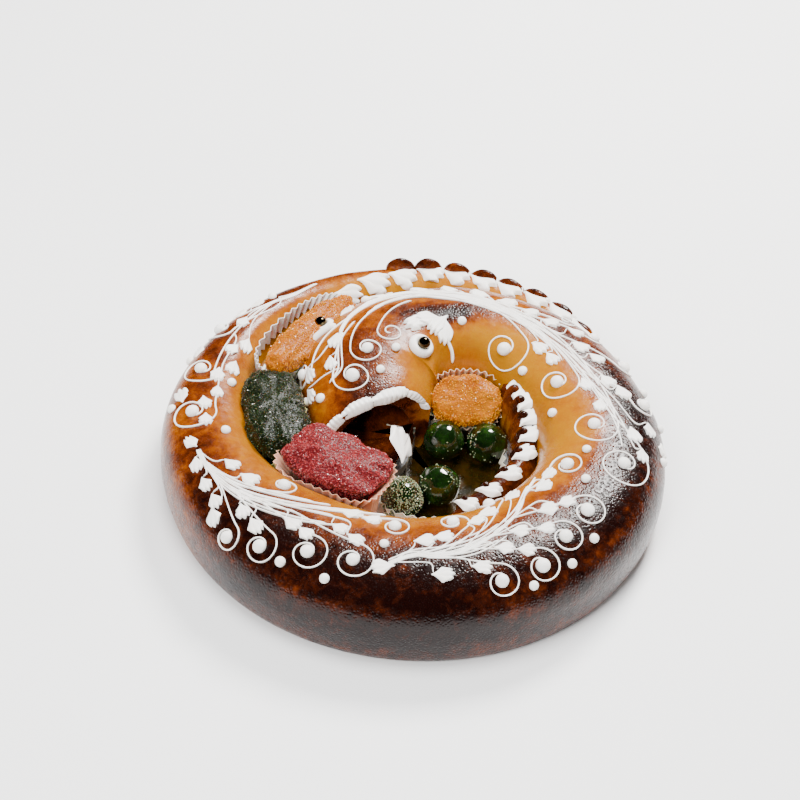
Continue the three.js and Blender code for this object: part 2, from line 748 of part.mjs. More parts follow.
// the room that a case takes, its inside with it, grown by the gap
function caseRoom(row) {
  const out = -GAP - FLUTE_DEPTH / 2;
  const { height, foot = CASE_FOOT, waist } = row;
  const ringAt = (scale, z) => ovalRing(row, 2 * row.pleats, scale, out, z);
  const rings = [ringAt(foot, -GAP), ringAt(1, height + GAP)];
  if (waist) rings.splice(1, 0, ringAt(...waist));
  return placed(loft(rings), row);
}

// An uneven candied fruit that fills its case and stands proud of it by its rise. It is smaller
// than the rim by its inset, and moved by its shift above its foot.
function fruit(row, grow) {
  const { rise, inset, shift = [0, 0], lumps, seed } = row.fruit;
  const { height, squareness, foot = CASE_FOOT, waist } = row;
  const wall = FLUTE_DEPTH / 2 + PAPER + GAP - grow;
  const own = { squareness, size: row.size.map((r, i) => r - inset[i]) };
  // share of the way from the rim to the top, and share of the width at the rim
  const crown = [[0, 0.97], [0.45, 1], [0.85, 0.84], [1, 0.5]];
  const rings = [
    ovalRing(own, FRUIT_SIDES, foot * 0.9, wall, PAPER + GAP),
    ovalRing(own, FRUIT_SIDES, waist ? 0.98 * waist[0] : 0.96, wall, waist ? waist[1] : height),
    ...crown.map(([up, width]) => {
      return ovalRing(own, FRUIT_SIDES, width, -grow, height + GAP + up * (rise + grow));
    }),
  ];
  rings.slice(1).forEach((ring, i) => ring.forEach((point, j) => {
    if (i > 0) {
      const share = (point.z - height - GAP) / rise;
      const wave = Math.sin(2.3 * j + seed + 4 * share) * Math.sin(1.7 * j + 2 * seed);
      point.x *= 1 + lumps * wave;
      point.y *= 1 + lumps * wave;
      point.z += share * 2 * lumps * rise * wave;
    }
    point.x += shift[0];
    point.y += shift[1];
  }));
  return placed(loft(rings), row);
}

const CHERRIES = [[16, 18.5], [38.6, 18.5], [14.5, -15.5], [-4.5, -27]];

// The paper cases: their place, rim semi-axes and height, how they are turned about z,
// tipped about their own x and pitched about their own y, and the fruit that each holds.
const CASES = [
  { name: "cherries", at: [15, -4, 0], size: [33, 37], height: 14, squareness: 4, pleats: 10 },
  { name: "red", at: [-39, -32, 0], size: [30, 19.5], height: 38, turn: -24, squareness: 3.4,
    foot: 0.66, waist: [0.78, 28], pleats: 10, material: RED_FRUIT,
    fruit: { rise: 7.5, inset: [2.5, 2.5], shift: [0, 0.8], lumps: 0.05, seed: 1 } },
  { name: "green", at: [-73, 5, 0], size: [17.5, 33], height: 31, turn: 12, squareness: 3,
    foot: 0.72, pleats: 10, material: GREEN_FRUIT,
    fruit: { rise: 13, inset: [1.5, 1.5], lumps: 0.05, seed: 2 } },
  { name: "orange_centre", at: [26.5, 46, 15], size: [20.5, 16], height: 13, tip: 38, pleats: 9,
    material: ORANGE_FRUIT,
    fruit: { rise: 7, inset: [2, 2.5], shift: [-0.5, -1.5], lumps: 0.04, seed: 3 } },
  { name: "orange_back", at: [-67, 73, 20], size: [15, 37], height: 17, turn: -33, pitch: 20,
    foot: 0.8, pleats: 10, material: ORANGE_FRUIT,
    fruit: { rise: 8, inset: [4, 1.5], shift: [3.5, 0], lumps: 0.06, seed: 4 } },
];

// ---------------------------------------------------------------- put together

const dough = (grow) => [coil(grow), lowerJaw(grow), strand(grow), ...strandLobes(grow)];
let eel = wasm.Manifold.union([...dough(0), ...finLobes()]).subtract(mouth());
eel = wasm.Manifold.union([eel, ...ornament(0)]);
for (const eye of EYES) eel = eel.subtract(bead(eye, GAP));
eel = mainBody(eel);

const cherryAt = ([x, y], grow) => {
  const radius = CHERRY_RADIUS + grow;
  return lump([x, y, PAPER + 1.2 * GAP + CHERRY_RADIUS], [radius, radius, radius], 0, 9, 6);
};

const group = new THREE.Group();

function piece(name, manifold, material) {
  const mesh = new THREE.Mesh(geometryOf(manifold), material);
  mesh.name = name;
  group.add(mesh);
}

piece("eel", eel, MARZIPAN);
EYES.forEach((eye, i) => piece(`eye_${i + 1}`, bead(eye, 0), BEAD));
CHERRIES.forEach((place, i) => piece(`cherry_${i + 1}`, cherryAt(place, 0), CHERRY));

// Everything that a case or a fruit is trimmed to, one gap larger than it is.
const taken = [
  ...dough(GAP),
  ...ornament(2 * GAP),
  lump(...LIP_CORNER),
  ...EYES.map((eye) => bead(eye, 2 * GAP)),
  ...CHERRIES.map((place) => cherryAt(place, GAP)),
];
for (const row of CASES) {
  const room = wasm.Manifold.union(taken);
  piece(`case_${row.name}`, mainBody(paperCase(row).subtract(room)), PAPER_WHITE);
  taken.push(caseRoom(row));
  if (!row.fruit) continue;
  piece(`fruit_${row.name}`, mainBody(fruit(row, 0).subtract(room)), row.material);
  taken.push(fruit(row, GAP));
}

// the middle of the whole in x and y comes over the origin
const box = new THREE.Box3().setFromObject(group);
const middle = box.getCenter(new THREE.Vector3());
for (const mesh of group.children) mesh.geometry.translate(-middle.x, -middle.y, 0);

export default group;
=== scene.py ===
"""The looks of a coiled marzipan eel with piped icing and candied fruit.

Lengths in the tables are millimetres in the coil's own frame, whose centre is the
middle of the ring. place() turns them into metres in the row frame.
"""
import math
import random

import bmesh
import bpy
import numpy as np
from mathutils import Matrix, Vector, noise
from mathutils.kdtree import KDTree


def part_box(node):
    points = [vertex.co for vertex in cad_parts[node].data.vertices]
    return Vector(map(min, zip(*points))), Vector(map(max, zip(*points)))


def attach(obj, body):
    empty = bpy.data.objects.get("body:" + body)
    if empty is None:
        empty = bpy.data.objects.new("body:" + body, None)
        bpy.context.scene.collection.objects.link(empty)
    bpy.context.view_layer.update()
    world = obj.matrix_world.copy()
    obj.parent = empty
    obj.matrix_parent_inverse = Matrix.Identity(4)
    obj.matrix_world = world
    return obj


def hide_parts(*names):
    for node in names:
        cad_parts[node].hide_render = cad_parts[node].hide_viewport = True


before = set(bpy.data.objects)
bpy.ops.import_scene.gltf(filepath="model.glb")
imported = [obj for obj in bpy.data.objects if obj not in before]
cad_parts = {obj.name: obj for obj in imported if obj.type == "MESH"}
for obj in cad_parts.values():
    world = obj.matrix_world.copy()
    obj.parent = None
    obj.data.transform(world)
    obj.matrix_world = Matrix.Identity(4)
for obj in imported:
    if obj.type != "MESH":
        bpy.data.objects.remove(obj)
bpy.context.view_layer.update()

MM = 0.001
CHERRY_RADIUS = 11
CHERRIES = [[16, 18.5], [38.6, 18.5], [14.5, -15.5], [-4.5, -27]]
PAPER = 0.8        # a case's wall in the solids
GAP = 0.35         # clearance between two pieces
FLUTE_DEPTH = 1.4
CASE_FOOT = 0.88   # width of a case's floor, as a share of its rim

# the row frame's origin lies under the middle of the whole part, a little off the coil's centre
_low, _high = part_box("cherry_1")
SHIFT = np.array([
    _low[0] / MM + CHERRY_RADIUS - CHERRIES[0][0],
    (_low[1] + _high[1]) / 2 / MM - CHERRIES[0][1],
    0.0,
])

# ------------------------------------------------------------------ the eel's form

LIP_ANGLE = 150
# turn, distance of the centreline from the coil's centre, half width, height, lean of the crest
COIL = np.array([
    [0, 24, 30, 43, 0],
    [22, 41, 34, 48, 0],
    [34, 57, 37, 51, 0],
    [46, 70, 35.5, 51, 0],
    [62, 82, 31, 51, 0],
    [75, 89, 29, 51, 0],
    [90, 92, 29.5, 51, 0],
    [106, 94, 32, 50, 0],
    [125, 95, 32.5, 49, 0],
    [150, 97.5, 33, 48, 0],
    [195, 95.5, 35, 47, 0],
    [240, 94.5, 35.5, 46, 0],
    [275, 95.5, 34, 45, 0],
    [294, 99, 30, 44, 0],
    [312, 103.5, 26, 43, 0],
    [330, 107, 24, 41, 0],
    [346, 111, 20.5, 40, 1],
    [360, 115, 16.5, 39, 2],
    [376, 118, 13.5, 38, 4],
    [420, 118, 12.5, 38, 8],
    [440, 118, 12, 38, 7],
    [458, 119, 11, 36, 6],
    [474, 119, 7, 28, 3],
], float)
TAIL_END = 474
ROUNDNESS = 2.4
SHOULDER = 0.45
FOOT = 0.88

# plan angle, radius, half width, height
STRAND = np.array([
    [44, 66.5, 7, 34],
    [36, 65, 8, 36],
    [27, 63.5, 8.5, 36],
    [18, 62, 8.5, 33],
    [9, 60, 8.5, 29.5],
    [-2, 57, 8.5, 26.5],
    [-18, 52, 8.2, 25],
    [-34, 48, 7.5, 23],
    [-51, 46, 6, 20.5],
    [-66, 46.5, 3, 14],
], float)
STRAND_LOBES = [35, 27, 18.5, 10, -1, -17, -33, -50]
STRAND_LOBE = {"along": 5.8, "across": 6.4, "inset": 2.8, "share": 0.05}
FIN_LOBES = [414, 421, 428, 435, 442, 449, 456, 463]
FIN_LOBE_SIDE = 0.3
FIN_LOBE = {"across": 3.8, "along": 8.2, "up": 8.5, "tallest": 421, "sink": 1}
FIN_LEAVES = [
    (401, -0.52), (408.5, -0.34), (416, -0.23), (423, -0.07), (429.5, 0.03), (436.5, 0.05),
    (443.5, 0.03), (451, 0.02), (458, 0.08), (465, 0.1),
]

MOUTH_DEPTH = 30
JAW_X = -24
# y, half width of the lower jaw at its rim, height of the rim
JAW = np.array([
    [22, 23, 20],
    [12, 22, 24],
    [0, 19.5, 25],
    [-10, 15, 22],
    [-17, 9.5, 18],
    [-21, 3.5, 13],
], float)


def between(rows, key, column):
    """A smooth value between the rows of a table, keyed by the rows' first number."""
    keys = rows[:, 0]
    values = rows[:, column]
    sign = 1 if keys[-1] > keys[0] else -1
    key = np.asarray(key, float)
    i = np.clip(np.searchsorted(sign * keys, sign * key, side="right") - 1, 0, len(keys) - 2)
    span = np.diff(keys)
    rise = np.diff(values) / span
    slope = np.empty(len(keys))
    slope[0] = rise[0]
    slope[-1] = rise[-1]
    slope[1:-1] = (rise[:-1] * span[1:] + rise[1:] * span[:-1]) / (span[:-1] + span[1:])
    u = np.clip((key - keys[i]) / span[i], -0.2, 1.2)
    u2 = u * u
    u3 = u2 * u
    return ((2 * u3 - 3 * u2 + 1) * values[i] + (u3 - 2 * u2 + u) * span[i] * slope[i]
            + (3 * u2 - 2 * u3) * values[i + 1] + (u3 - u2) * span[i] * slope[i + 1])


def polar(degrees):
    return math.cos(math.radians(degrees)), math.sin(math.radians(degrees))


def centre_at(turn):
    angle = np.radians(LIP_ANGLE - np.asarray(turn, float))
    radius = between(COIL, turn, 1)
    return np.stack([radius * np.cos(angle), radius * np.sin(angle), 0 * radius], -1)


def outward_at(turn):
    turn = np.asarray(turn, float)
    ahead = unit(centre_at(turn + 0.5) - centre_at(turn - 0.5))
    return np.stack([-ahead[..., 1], ahead[..., 0], 0 * ahead[..., 0]], -1)


def unit(v):
    return v / np.maximum(np.linalg.norm(v, axis=-1, keepdims=True), 1e-9)


def skin(turn, side):
    """Points of the skin. side is 0 on the crest, 1 on the outer shoulder, -1 on the inner one."""
    turn, side = np.broadcast_arrays(np.asarray(turn, float), np.asarray(side, float))
    half_width = between(COIL, turn, 2)
    height = between(COIL, turn, 3)
    lean = between(COIL, turn, 4)
    shoulder = SHOULDER * height
    across = np.sin(side * math.pi / 2)
    up = np.maximum(np.cos(side * math.pi / 2), 0)
    reach = (np.abs(across) ** ROUNDNESS + up ** ROUNDNESS) ** (-1 / ROUNDNESS)
    rise = reach * up
    offset = half_width * reach * across + lean * rise
    point = centre_at(turn) + outward_at(turn) * offset[..., None]
    point[..., 2] = shoulder + (height - shoulder) * rise
    return point


def degree_of_skin(turn, side):
    """The way that the skin goes forward in one degree of turn."""
    return skin(turn + 0.5, side) - skin(turn - 0.5, side)


def skin_normal(turn, side):
    turn = np.asarray(turn, float)
    side = np.asarray(side, float)
    over = skin(turn, side + 0.01) - skin(turn, side - 0.01)
    return unit(np.cross(degree_of_skin(turn, side), over))


def scales(turn, side):
    """Millimetres of skin per degree of turn, and per unit of side."""
    along = np.linalg.norm(degree_of_skin(turn, side), axis=-1)
    over = np.linalg.norm(skin(turn, side + 0.05) - skin(turn, side - 0.05), axis=-1) / 0.1
    return along, over


def wobble(points, size, seed=0.0):
    """Smooth noise from -1 to 1 at points, for features of about that size."""
    offset = Vector((seed * 17.1, seed * 5.3, seed * 9.7))
    return np.array([noise.noise(Vector(p) / size + offset) for p in points])


# ------------------------------------------------------------------ meshes


def place(points):
    return (np.asarray(points, float) + SHIFT) * MM


def link(obj):
    bpy.context.scene.collection.objects.link(obj)


class Mesh:
    """Vertices and faces that grow piece by piece into one object."""

    def __init__(self):
        self.points = []
        self.faces = []
        self.count = 0
        self.values = {}

    def add(self, points, faces, **values):
        points = np.asarray(points, float)
        self.points.append(points)
        self.faces.extend(tuple(i + self.count for i in face) for face in faces)
        self.count += len(points)
        for name, value in values.items():
            self.values.setdefault(name, []).append(np.broadcast_to(value, (len(points),)))

    def build(self, name, material, smooth=True, ground=True):
        points = np.concatenate(self.points)
        if ground:
            points[:, 2] = np.maximum(points[:, 2], 0.0)
        mesh = bpy.data.meshes.new(name)
        mesh.from_pydata(place(points).tolist(), [], self.faces)
        for key, parts in self.values.items():
            layer = mesh.attributes.new(key, "FLOAT", "POINT")
            layer.data.foreach_set("value", np.concatenate(parts).astype(np.float32))
        mesh.update()
        if smooth:
            mesh.shade_smooth()
        mesh.materials.append(material)
        obj = bpy.data.objects.new(name, mesh)
        link(obj)
        tidy_normals(obj)
        return obj


def single(name, material, points, faces, smooth=True, ground=True, **values):
    """An object of one mesh part."""
    mesh = Mesh()
    mesh.add(points, faces, **values)
    return mesh.build(name, material, smooth, ground)


def tidy_normals(obj):
    bm = bmesh.new()
    bm.from_mesh(obj.data)
    bmesh.ops.recalc_face_normals(bm, faces=bm.faces)
    bm.to_mesh(obj.data)
    bm.free()


def grid_faces(rows, columns, wrap=False):
    """Quads over a grid of points in rows."""
    faces = []
    last = columns if wrap else columns - 1
    for i in range(rows - 1):
        for j in range(last):
            a = i * columns + j
            b = i * columns + (j + 1) % columns
            faces.append((a, b, b + columns, a + columns))
    return faces


def loft(rings):
    """A closed skin through rings of equally many points: points and faces."""
    rings = np.asarray(rings, float)
    rows, columns, _ = rings.shape
    points = np.concatenate([rings.reshape(-1, 3), rings[0].mean(0)[None], rings[-1].mean(0)[None]])
    faces = grid_faces(rows, columns, wrap=True)
    first = rows * columns
    for j in range(columns):
        k = (j + 1) % columns
        faces.append((first, k, j))
        faces.append((first + 1, first - columns + j, first - columns + k))
    return points, faces


# ------------------------------------------------------------------ materials


class Nodes:
    """A material's node tree, with short calls to add and link nodes."""

    def __init__(self, name):
        self.material = bpy.data.materials.new(name)
        self.material.use_nodes = True
        self.tree = self.material.node_tree
        self.shader = self.tree.nodes["Principled BSDF"]
        self.coords = self.add("ShaderNodeTexCoord").outputs["Object"]

    def add(self, kind, inputs=None, **settings):
        node = self.tree.nodes.new(kind)
        for key, value in settings.items():
            setattr(node, key, value)
        for key, value in (inputs or {}).items():
            self.put(node.inputs[key], value)
        return node

    def put(self, socket, value):
        if isinstance(value, bpy.types.NodeSocket):
            self.tree.links.new(value, socket)
        else:
            socket.default_value = value

    def set(self, **values):
        for key, value in values.items():
            self.put(self.shader.inputs[key.replace("_", " ")], value)

    def noise(self, scale, detail=4.0, roughness=0.55, distortion=0.0):
        node = self.add("ShaderNodeTexNoise", {
            "Vector": self.coords, "Scale": scale, "Detail": detail,
            "Roughness": roughness, "Distortion": distortion})
        return node.outputs["Fac"]

    def ramp(self, factor, stops):
        node = self.add("ShaderNodeValToRGB", {"Fac": factor})
        elements = node.color_ramp.elements
        while len(elements) < len(stops):
            elements.new(0.5)
        for element, (place_at, colour) in zip(elements, stops):
            element.position = place_at
            element.color = (*colour, 1)
        return node.outputs["Color"]

    def math(self, operation, a, b=0.0, clamp=False):
        node = self.add("ShaderNodeMath", operation=operation, use_clamp=clamp)
        self.put(node.inputs[0], a)
        self.put(node.inputs[1], b)
        return node.outputs[0]

    def span(self, value, low, high, to_low=0.0, to_high=1.0):
        node = self.add("ShaderNodeMapRange", {
            "Value": value, "From Min": low, "From Max": high, "To Min": to_low, "To Max": to_high})
        return node.outputs[0]

    def mix(self, factor, a, b):
        node = self.add("ShaderNodeMix", data_type="RGBA")
        self.put(node.inputs[0], factor)
        for socket, value in ((node.inputs[6], a), (node.inputs[7], b)):
            self.put(socket, (*value, 1) if isinstance(value, tuple) else value)
        return node.outputs[2]

    def attribute(self, name):
        return self.add("ShaderNodeAttribute", attribute_name=name).outputs["Fac"]

    def bump(self, height, distance, strength=1.0, normal=None):
        node = self.add("ShaderNodeBump", {"Height": height, "Distance": distance, "Strength": strength})
        if normal is not None:
            self.put(node.inputs["Normal"], normal)
        return node.outputs[0]


def marzipan_material():
    """Egg-glazed marzipan: golden dough, browned to near black where its darkness attribute is 1; inside
    the mouth that darkness is painted shade.
    """
    n = Nodes("glazed_marzipan")
    # darkness from oven browning, and inside the mouth painted shade
    brown = n.attribute("brown")
    patches = n.span(n.noise(28, 5, 0.6), 0.3, 0.7, -0.16, 0.16)
    mottle = n.span(n.noise(170, 6, 0.7, 0.4), 0.3, 0.7, -0.22, 0.22)
    grade = n.math("MULTIPLY", mottle, n.math("ADD", 0.35, brown))
    level = n.math("ADD", n.math("ADD", brown, patches), grade, clamp=True)
    colour = n.ramp(level, [
        (0.0, (0.30, 0.115, 0.0001)),
        (0.18, (0.27, 0.082, 0.0001)),
        (0.36, (0.19, 0.042, 0.0005)),
        (0.55, (0.085, 0.014, 0.0012)),
        (0.78, (0.024, 0.004, 0.0012)),
        (1.0, (0.006, 0.0012, 0.0008)),
    ])
    grain = n.noise(1500, 3, 0.6)
    pits = n.add("ShaderNodeTexVoronoi", {"Vector": n.coords, "Scale": 700.0}).outputs["Distance"]
    crust = n.math("MULTIPLY", n.span(brown, 0.25, 0.8), n.span(pits, 0.0, 0.55))
    relief = n.math("ADD", n.math("MULTIPLY", grain, 0.3), crust)
    soft = n.bump(n.noise(70, 3, 0.5), 0.0012, 0.5)
    n.set(Base_Color=colour,
          Roughness=n.span(n.noise(300, 4, 0.6), 0.3, 0.7, 0.16, 0.34),
          Normal=n.bump(relief, 0.0003, 0.5, soft),
          Specular_IOR_Level=0.25,
          Subsurface_Weight=0.06, Subsurface_Scale=0.004, Subsurface_Radius=(1.0, 0.45, 0.15))
    return n.material


def icing_material():
    n = Nodes("royal_icing")
    tint = n.ramp(n.noise(120, 4), [(0.3, (0.86, 0.82, 0.76)), (0.7, (0.93, 0.91, 0.88))])
    n.set(Base_Color=tint,
          Roughness=n.span(n.noise(500, 3), 0.3, 0.7, 0.42, 0.6),
          Normal=n.bump(n.noise(900, 4, 0.6), 0.00018, 0.5),
          Specular_IOR_Level=0.4,
          Subsurface_Weight=0.12, Subsurface_Scale=0.0015, Subsurface_Radius=(1.0, 0.85, 0.7))
    return n.material


def fruit_material(name, deep, light):
    """Candied fruit flesh under syrup and sugar."""
    n = Nodes(name)
    colour = n.ramp(n.noise(90, 5, 0.65), [(0.3, deep), (0.7, light)])
    n.set(Base_Color=colour,
          Roughness=n.span(n.noise(600, 3), 0.3, 0.7, 0.22, 0.47),
          Normal=n.bump(n.noise(700, 4, 0.7), 0.0006, 0.7),
          Specular_IOR_Level=0.35,
          Subsurface_Weight=0.25, Subsurface_Scale=0.004,
          Subsurface_Radius=tuple(max(0.05, c) for c in light))
    return n.material


def cherry_material():
    n = Nodes("green_cherry_syrup")
    colour = n.ramp(n.noise(140, 5, 0.6), [
        (0.32, (0.0015, 0.004, 0.001)), (0.55, (0.004, 0.014, 0.002)), (0.78, (0.02, 0.055, 0.006))])
    n.set(Base_Color=colour,
          Roughness=n.span(n.noise(300, 3), 0.35, 0.7, 0.05, 0.22),
          Normal=n.bump(n.noise(260, 3, 0.5), 0.0006, 0.5),
          Coat_Weight=0.8, Coat_Roughness=0.04,
          Subsurface_Weight=0.15, Subsurface_Scale=0.003, Subsurface_Radius=(0.2, 1.0, 0.1))
    return n.material


def sugar_material(name, tint):
    """Sugar crystals in the tint of the fruit under them, with a few milky ones."""
    n = Nodes(name)
    milky = tuple(min(1.0, 0.9 * c + 0.3) for c in tint)
    bright = tuple(1.5 * c for c in tint)
    colour = n.ramp(n.noise(420, 3, 0.7), [(0.0, tint), (0.56, bright), (0.74, milky)])
    n.set(Base_Color=colour, Roughness=0.2, Specular_IOR_Level=0.5,
          Normal=n.bump(n.noise(2500, 2), 0.0001, 0.4),
          Subsurface_Weight=0.3, Subsurface_Scale=0.001)
    return n.material


def paper_material(name, colour):
    """Fluted paper, shiny with syrup and painted dark where its wetness attribute is 1; the dark is
    partly syrup, partly painted shade.
    """
    n = Nodes(name)
    tint = n.ramp(n.noise(60, 4), [(0.3, tuple(0.88 * c for c in colour)), (0.7, colour)])
    uneven = n.span(n.noise(90, 4), 0.3, 0.7, -0.25, 0.25)
    wet = n.span(n.math("ADD", n.attribute("wet"), uneven), 0.35, 0.65)
    # near-black colour: partly syrup, partly painted shade between the fruit
    syrup_and_shade_colour = n.ramp(n.noise(120, 4), [(0.35, (0.004, 0.005, 0.001)), (0.7, (0.04, 0.018, 0.002))])
    n.set(Base_Color=n.mix(wet, tint, syrup_and_shade_colour),
          Roughness=n.span(wet, 0, 1, 0.7, 0.12),
          Normal=n.bump(n.noise(1400, 5, 0.6), 0.0001, 0.5),
          Specular_IOR_Level=0.3,
          Subsurface_Weight=0.15, Subsurface_Scale=0.001)
    return n.material


def bead_material():
    n = Nodes("polished_bead")
    colour = n.ramp(n.noise(260, 3), [(0.35, (0.03, 0.026, 0.02)), (0.7, (0.16, 0.12, 0.06))])
    n.set(Base_Color=colour, Metallic=1.0,
          Roughness=n.span(n.noise(500, 2), 0.3, 0.7, 0.08, 0.2),
          Normal=n.bump(n.noise(500, 2), 0.0001, 0.3))
    return n.material


MARZIPAN = marzipan_material()
ICING = icing_material()
BEAD = bead_material()
CHERRY = cherry_material()

# ------------------------------------------------------------------ browning

# How the oven browned the eel: turn, side of the darkest line, its reach in units of side,
# how dark it is, and how dark the outer flank is beyond it.
BROWNING = np.array([
    [0, 0.0, 0.60, 0.90, 0.40],
    [8, 0.04, 0.50, 0.78, 0.30],
    [20, 0.08, 0.42, 0.62, 0.22],
    [34, 0.08, 0.36, 0.52, 0.18],
    [48, 0.02, 0.30, 0.44, 0.18],
    [60, -0.12, 0.22, 0.78, 0.26],
    [72, -0.14, 0.20, 0.84, 0.30],
    [84, -0.04, 0.22, 0.44, 0.34],
    [98, 0.06, 0.24, 0.44, 0.40],
    [118, 0.22, 0.32, 0.68, 0.52],
    [140, 0.30, 0.37, 0.90, 0.66],
    [165, 0.32, 0.44, 0.98, 0.78],
    [190, 0.30, 0.48, 0.90, 0.80],
    [215, 0.32, 0.52, 0.92, 0.86],
    [240, 0.40, 0.58, 1.0, 0.94],
    [262, 0.42, 0.56, 1.0, 0.92],
    [284, 0.38, 0.52, 0.94, 0.80],
    [304, 0.32, 0.46, 0.74, 0.58],
    [325, 0.24, 0.44, 0.50, 0.42],
    [350, 0.12, 0.48, 0.48, 0.32],
    [376, 0.12, 0.46, 0.50, 0.34],
    [400, 0.22, 0.34, 0.46, 0.44],
    [440, 0.30, 0.30, 0.50, 0.46],
    [474, 0.24, 0.36, 0.55, 0.5],
], float)


def browning(turn, side):
    """0 for pale golden dough to 1 for black."""
    turn = np.asarray(turn, float)
    side = np.asarray(side, float)
    middle = between(BROWNING, turn, 1)
    reach = between(BROWNING, turn, 2)
    strength = between(BROWNING, turn, 3)
    outer = between(BROWNING, turn, 4)
    bell = np.exp(-np.abs((side - middle) / reach) ** 2.2)
    beyond = outer / (1 + np.exp(-(side - middle) / 0.12))
    return np.clip(np.maximum(strength * bell, beyond) + 0.06, 0, 1)


# ------------------------------------------------------------------ the dough

DOME_POINTS = 60
FLANK = [0.86, 0.66, 0.42, 0.2, 0.07, 0.0]  # levels below the shoulder, as shares of its height
BASE_POINTS = 7
FOOT_ROUNDING = 0.035
TIP = 6  # degrees over which the tail's end closes


def body_rings():
    """The coil's cross-sections, one per degree, and the side of each of their points."""
    sides = np.linspace(-1, 1, DOME_POINTS + 1)
    rings = []
    values = []
    for turn in np.arange(0, TAIL_END + 0.01, 1.0):
        dome = skin(np.full(len(sides), turn), sides)
        centre = centre_at(turn)
        out = outward_at(turn)
        half_width = between(COIL, turn, 2)
        shoulder = SHOULDER * between(COIL, turn, 3)
        ring = [dome]
        side_values = [sides]
        for sign in (1, -1):
            for level in FLANK[::sign]:
                wide = FOOT + (1 - FOOT) * math.sin(math.pi / 2 * level ** 0.75)
                if level == 0:
                    wide -= FOOT_ROUNDING
                point = centre + out * half_width * wide * sign
                point[2] = shoulder * level
                ring.append(point[None])
                side_values.append([sign * (1.0 + 0.35 * (1 - level))])
            if sign > 0:
                for k in range(1, BASE_POINTS):
                    share = 1 - 2 * k / BASE_POINTS
                    point = centre + out * half_width * (FOOT - FOOT_ROUNDING) * share
                    ring.append(point[None])
                    side_values.append([1.3 * share])
        ring = np.concatenate(ring)
        if turn > TAIL_END - TIP:
            share = (turn - TAIL_END + TIP) / TIP
            shrink = math.sqrt(max(0.0, 1 - 0.85 * share * share))
            middle = ring.mean(0)
            middle[2] *= 0.8
            ring = middle + (ring - middle) * shrink
        rings.append(ring)
        values.append(np.concatenate(side_values))
    return np.array(rings), np.array(values)


BODY_RINGS, BODY_SIDES = body_rings()


def roughen(points, normals, amounts, seed):
    """Moves points along their normals by two sizes of noise."""
    shift = amounts[0] * wobble(points, 34, seed) + amounts[1] * wobble(points, 9, seed + 1)
    return points + normals * shift[:, None]


def normals_of(points, faces):
    """Vertex normals by area, pointing as the faces wind."""
    result = np.zeros_like(points)
    for face in faces:
        a, b, c = points[face[0]], points[face[1]], points[face[2]]
        normal = np.cross(b - a, c - a)
        for i in face:
            result[i] += normal
    return unit(result)


def make_body():
    points, faces = loft(BODY_RINGS)
    rows, columns = BODY_SIDES.shape
    inner = points[:-2].reshape(rows, columns, 3)
    along = np.gradient(inner, axis=0)
    around = np.roll(inner, -1, axis=1) - np.roll(inner, 1, axis=1)
    normals = unit(np.cross(along, around)).reshape(-1, 3)
    upper = (inner[..., 2] > 4).reshape(-1)
    moved = roughen(points[:-2], normals, (0.55, 0.16), 3.0)
    points[:-2] = np.where(upper[:, None], moved, points[:-2])
    return single("eel_body", MARZIPAN, points, faces)


# half width, roof and bed of the mouth where it ends, and what they gain up to the lip
MOUTH_END = (12, 28, 24)
MOUTH_GAIN = (14.8, 11, -13)


def mouth_space():
    """The wedge between the jaws, as a mesh for a cut."""
    rings = []
    steps = 12
    for i in range(steps + 1):
        share = i / steps
        turn = MOUTH_DEPTH * (1 - share)
        centre = centre_at(turn)
        out = outward_at(turn)
        half_width, roof, bed = (end + gain * share for end, gain in zip(MOUTH_END, MOUTH_GAIN))
        ring = []
        for j in range(36):
            a = j * math.pi / 18
            swell = roof - bed if math.sin(a) > 0 else 8 * share
            z = bed + swell * math.sin(a)
            point = centre + out * half_width * math.cos(a)
            point[2] = z
            ring.append(point)
        rings.append(ring)
    rings.append([p + np.array([0, -45, 0]) for p in rings[-1]])
    return single("mouth_space", MARZIPAN, *loft(rings), ground=False)


def cut(obj, tool):
    modifier = obj.modifiers.new("cut", "BOOLEAN")
    modifier.operation = "DIFFERENCE"
    modifier.solver = "EXACT"
    modifier.object = tool
    apply_modifiers(obj)
    bpy.data.objects.remove(tool, do_unlink=True)


def apply_modifiers(obj):
    graph = bpy.context.evaluated_depsgraph_get()
    mesh = bpy.data.meshes.new_from_object(obj.evaluated_get(graph))
    obj.modifiers.clear()
    old = obj.data
    obj.data = mesh
    bpy.data.meshes.remove(old)


def points_of(obj):
    flat = np.empty(3 * len(obj.data.vertices))
    obj.data.vertices.foreach_get("co", flat)
    return flat.reshape(-1, 3) / MM - SHIFT


def paint(obj, values):
    layer = obj.data.attributes.new("brown", "FLOAT", "POINT")
    layer.data.foreach_set("value", np.asarray(values, np.float32))


def skin_tree():
    """A search tree over the dome, and the turn and side of each of its points."""
    turns = np.arange(0, TAIL_END + 0.1, 1.5)
    turns, sides = np.meshgrid(turns, np.linspace(-1.05, 1.05, 43), indexing="ij")
    places = skin(turns, sides).reshape(-1, 3)
    tree = KDTree(len(places))
    for i, p in enumerate(places):
        tree.insert(p, i)
    tree.balance()
    return tree, turns.ravel(), sides.ravel()


PALE_BELOW = 16  # height under which the flank pales towards the floor


def paint_body(obj):
    """Browns the dome and flanks by the table, and darkens the inside of the mouth with its depth as
    painted shade.
    """
    tree, turns, sides = skin_tree()
    points = points_of(obj)
    found = [tree.find(p) for p in points]
    index = np.array([f[1] for f in found])
    depth = np.array([f[2] for f in found])
    brown = browning(turns[index], sides[index])
    low = np.clip((PALE_BELOW - points[:, 2]) / PALE_BELOW, 0, 1)
    brown = brown * (1 - 0.35 * low)
    # painted shade: inside the mouth the dough gets darker the deeper it lies
    near_lip = (turns[index] < 36) & (depth > 2.2) & (points[:, 2] > 6)
    mouth_depth_shade = np.clip(0.62 + (turns[index] - 2) / 26, 0, 1)
    brown = np.where(near_lip, mouth_depth_shade, brown)
    paint(obj, brown)


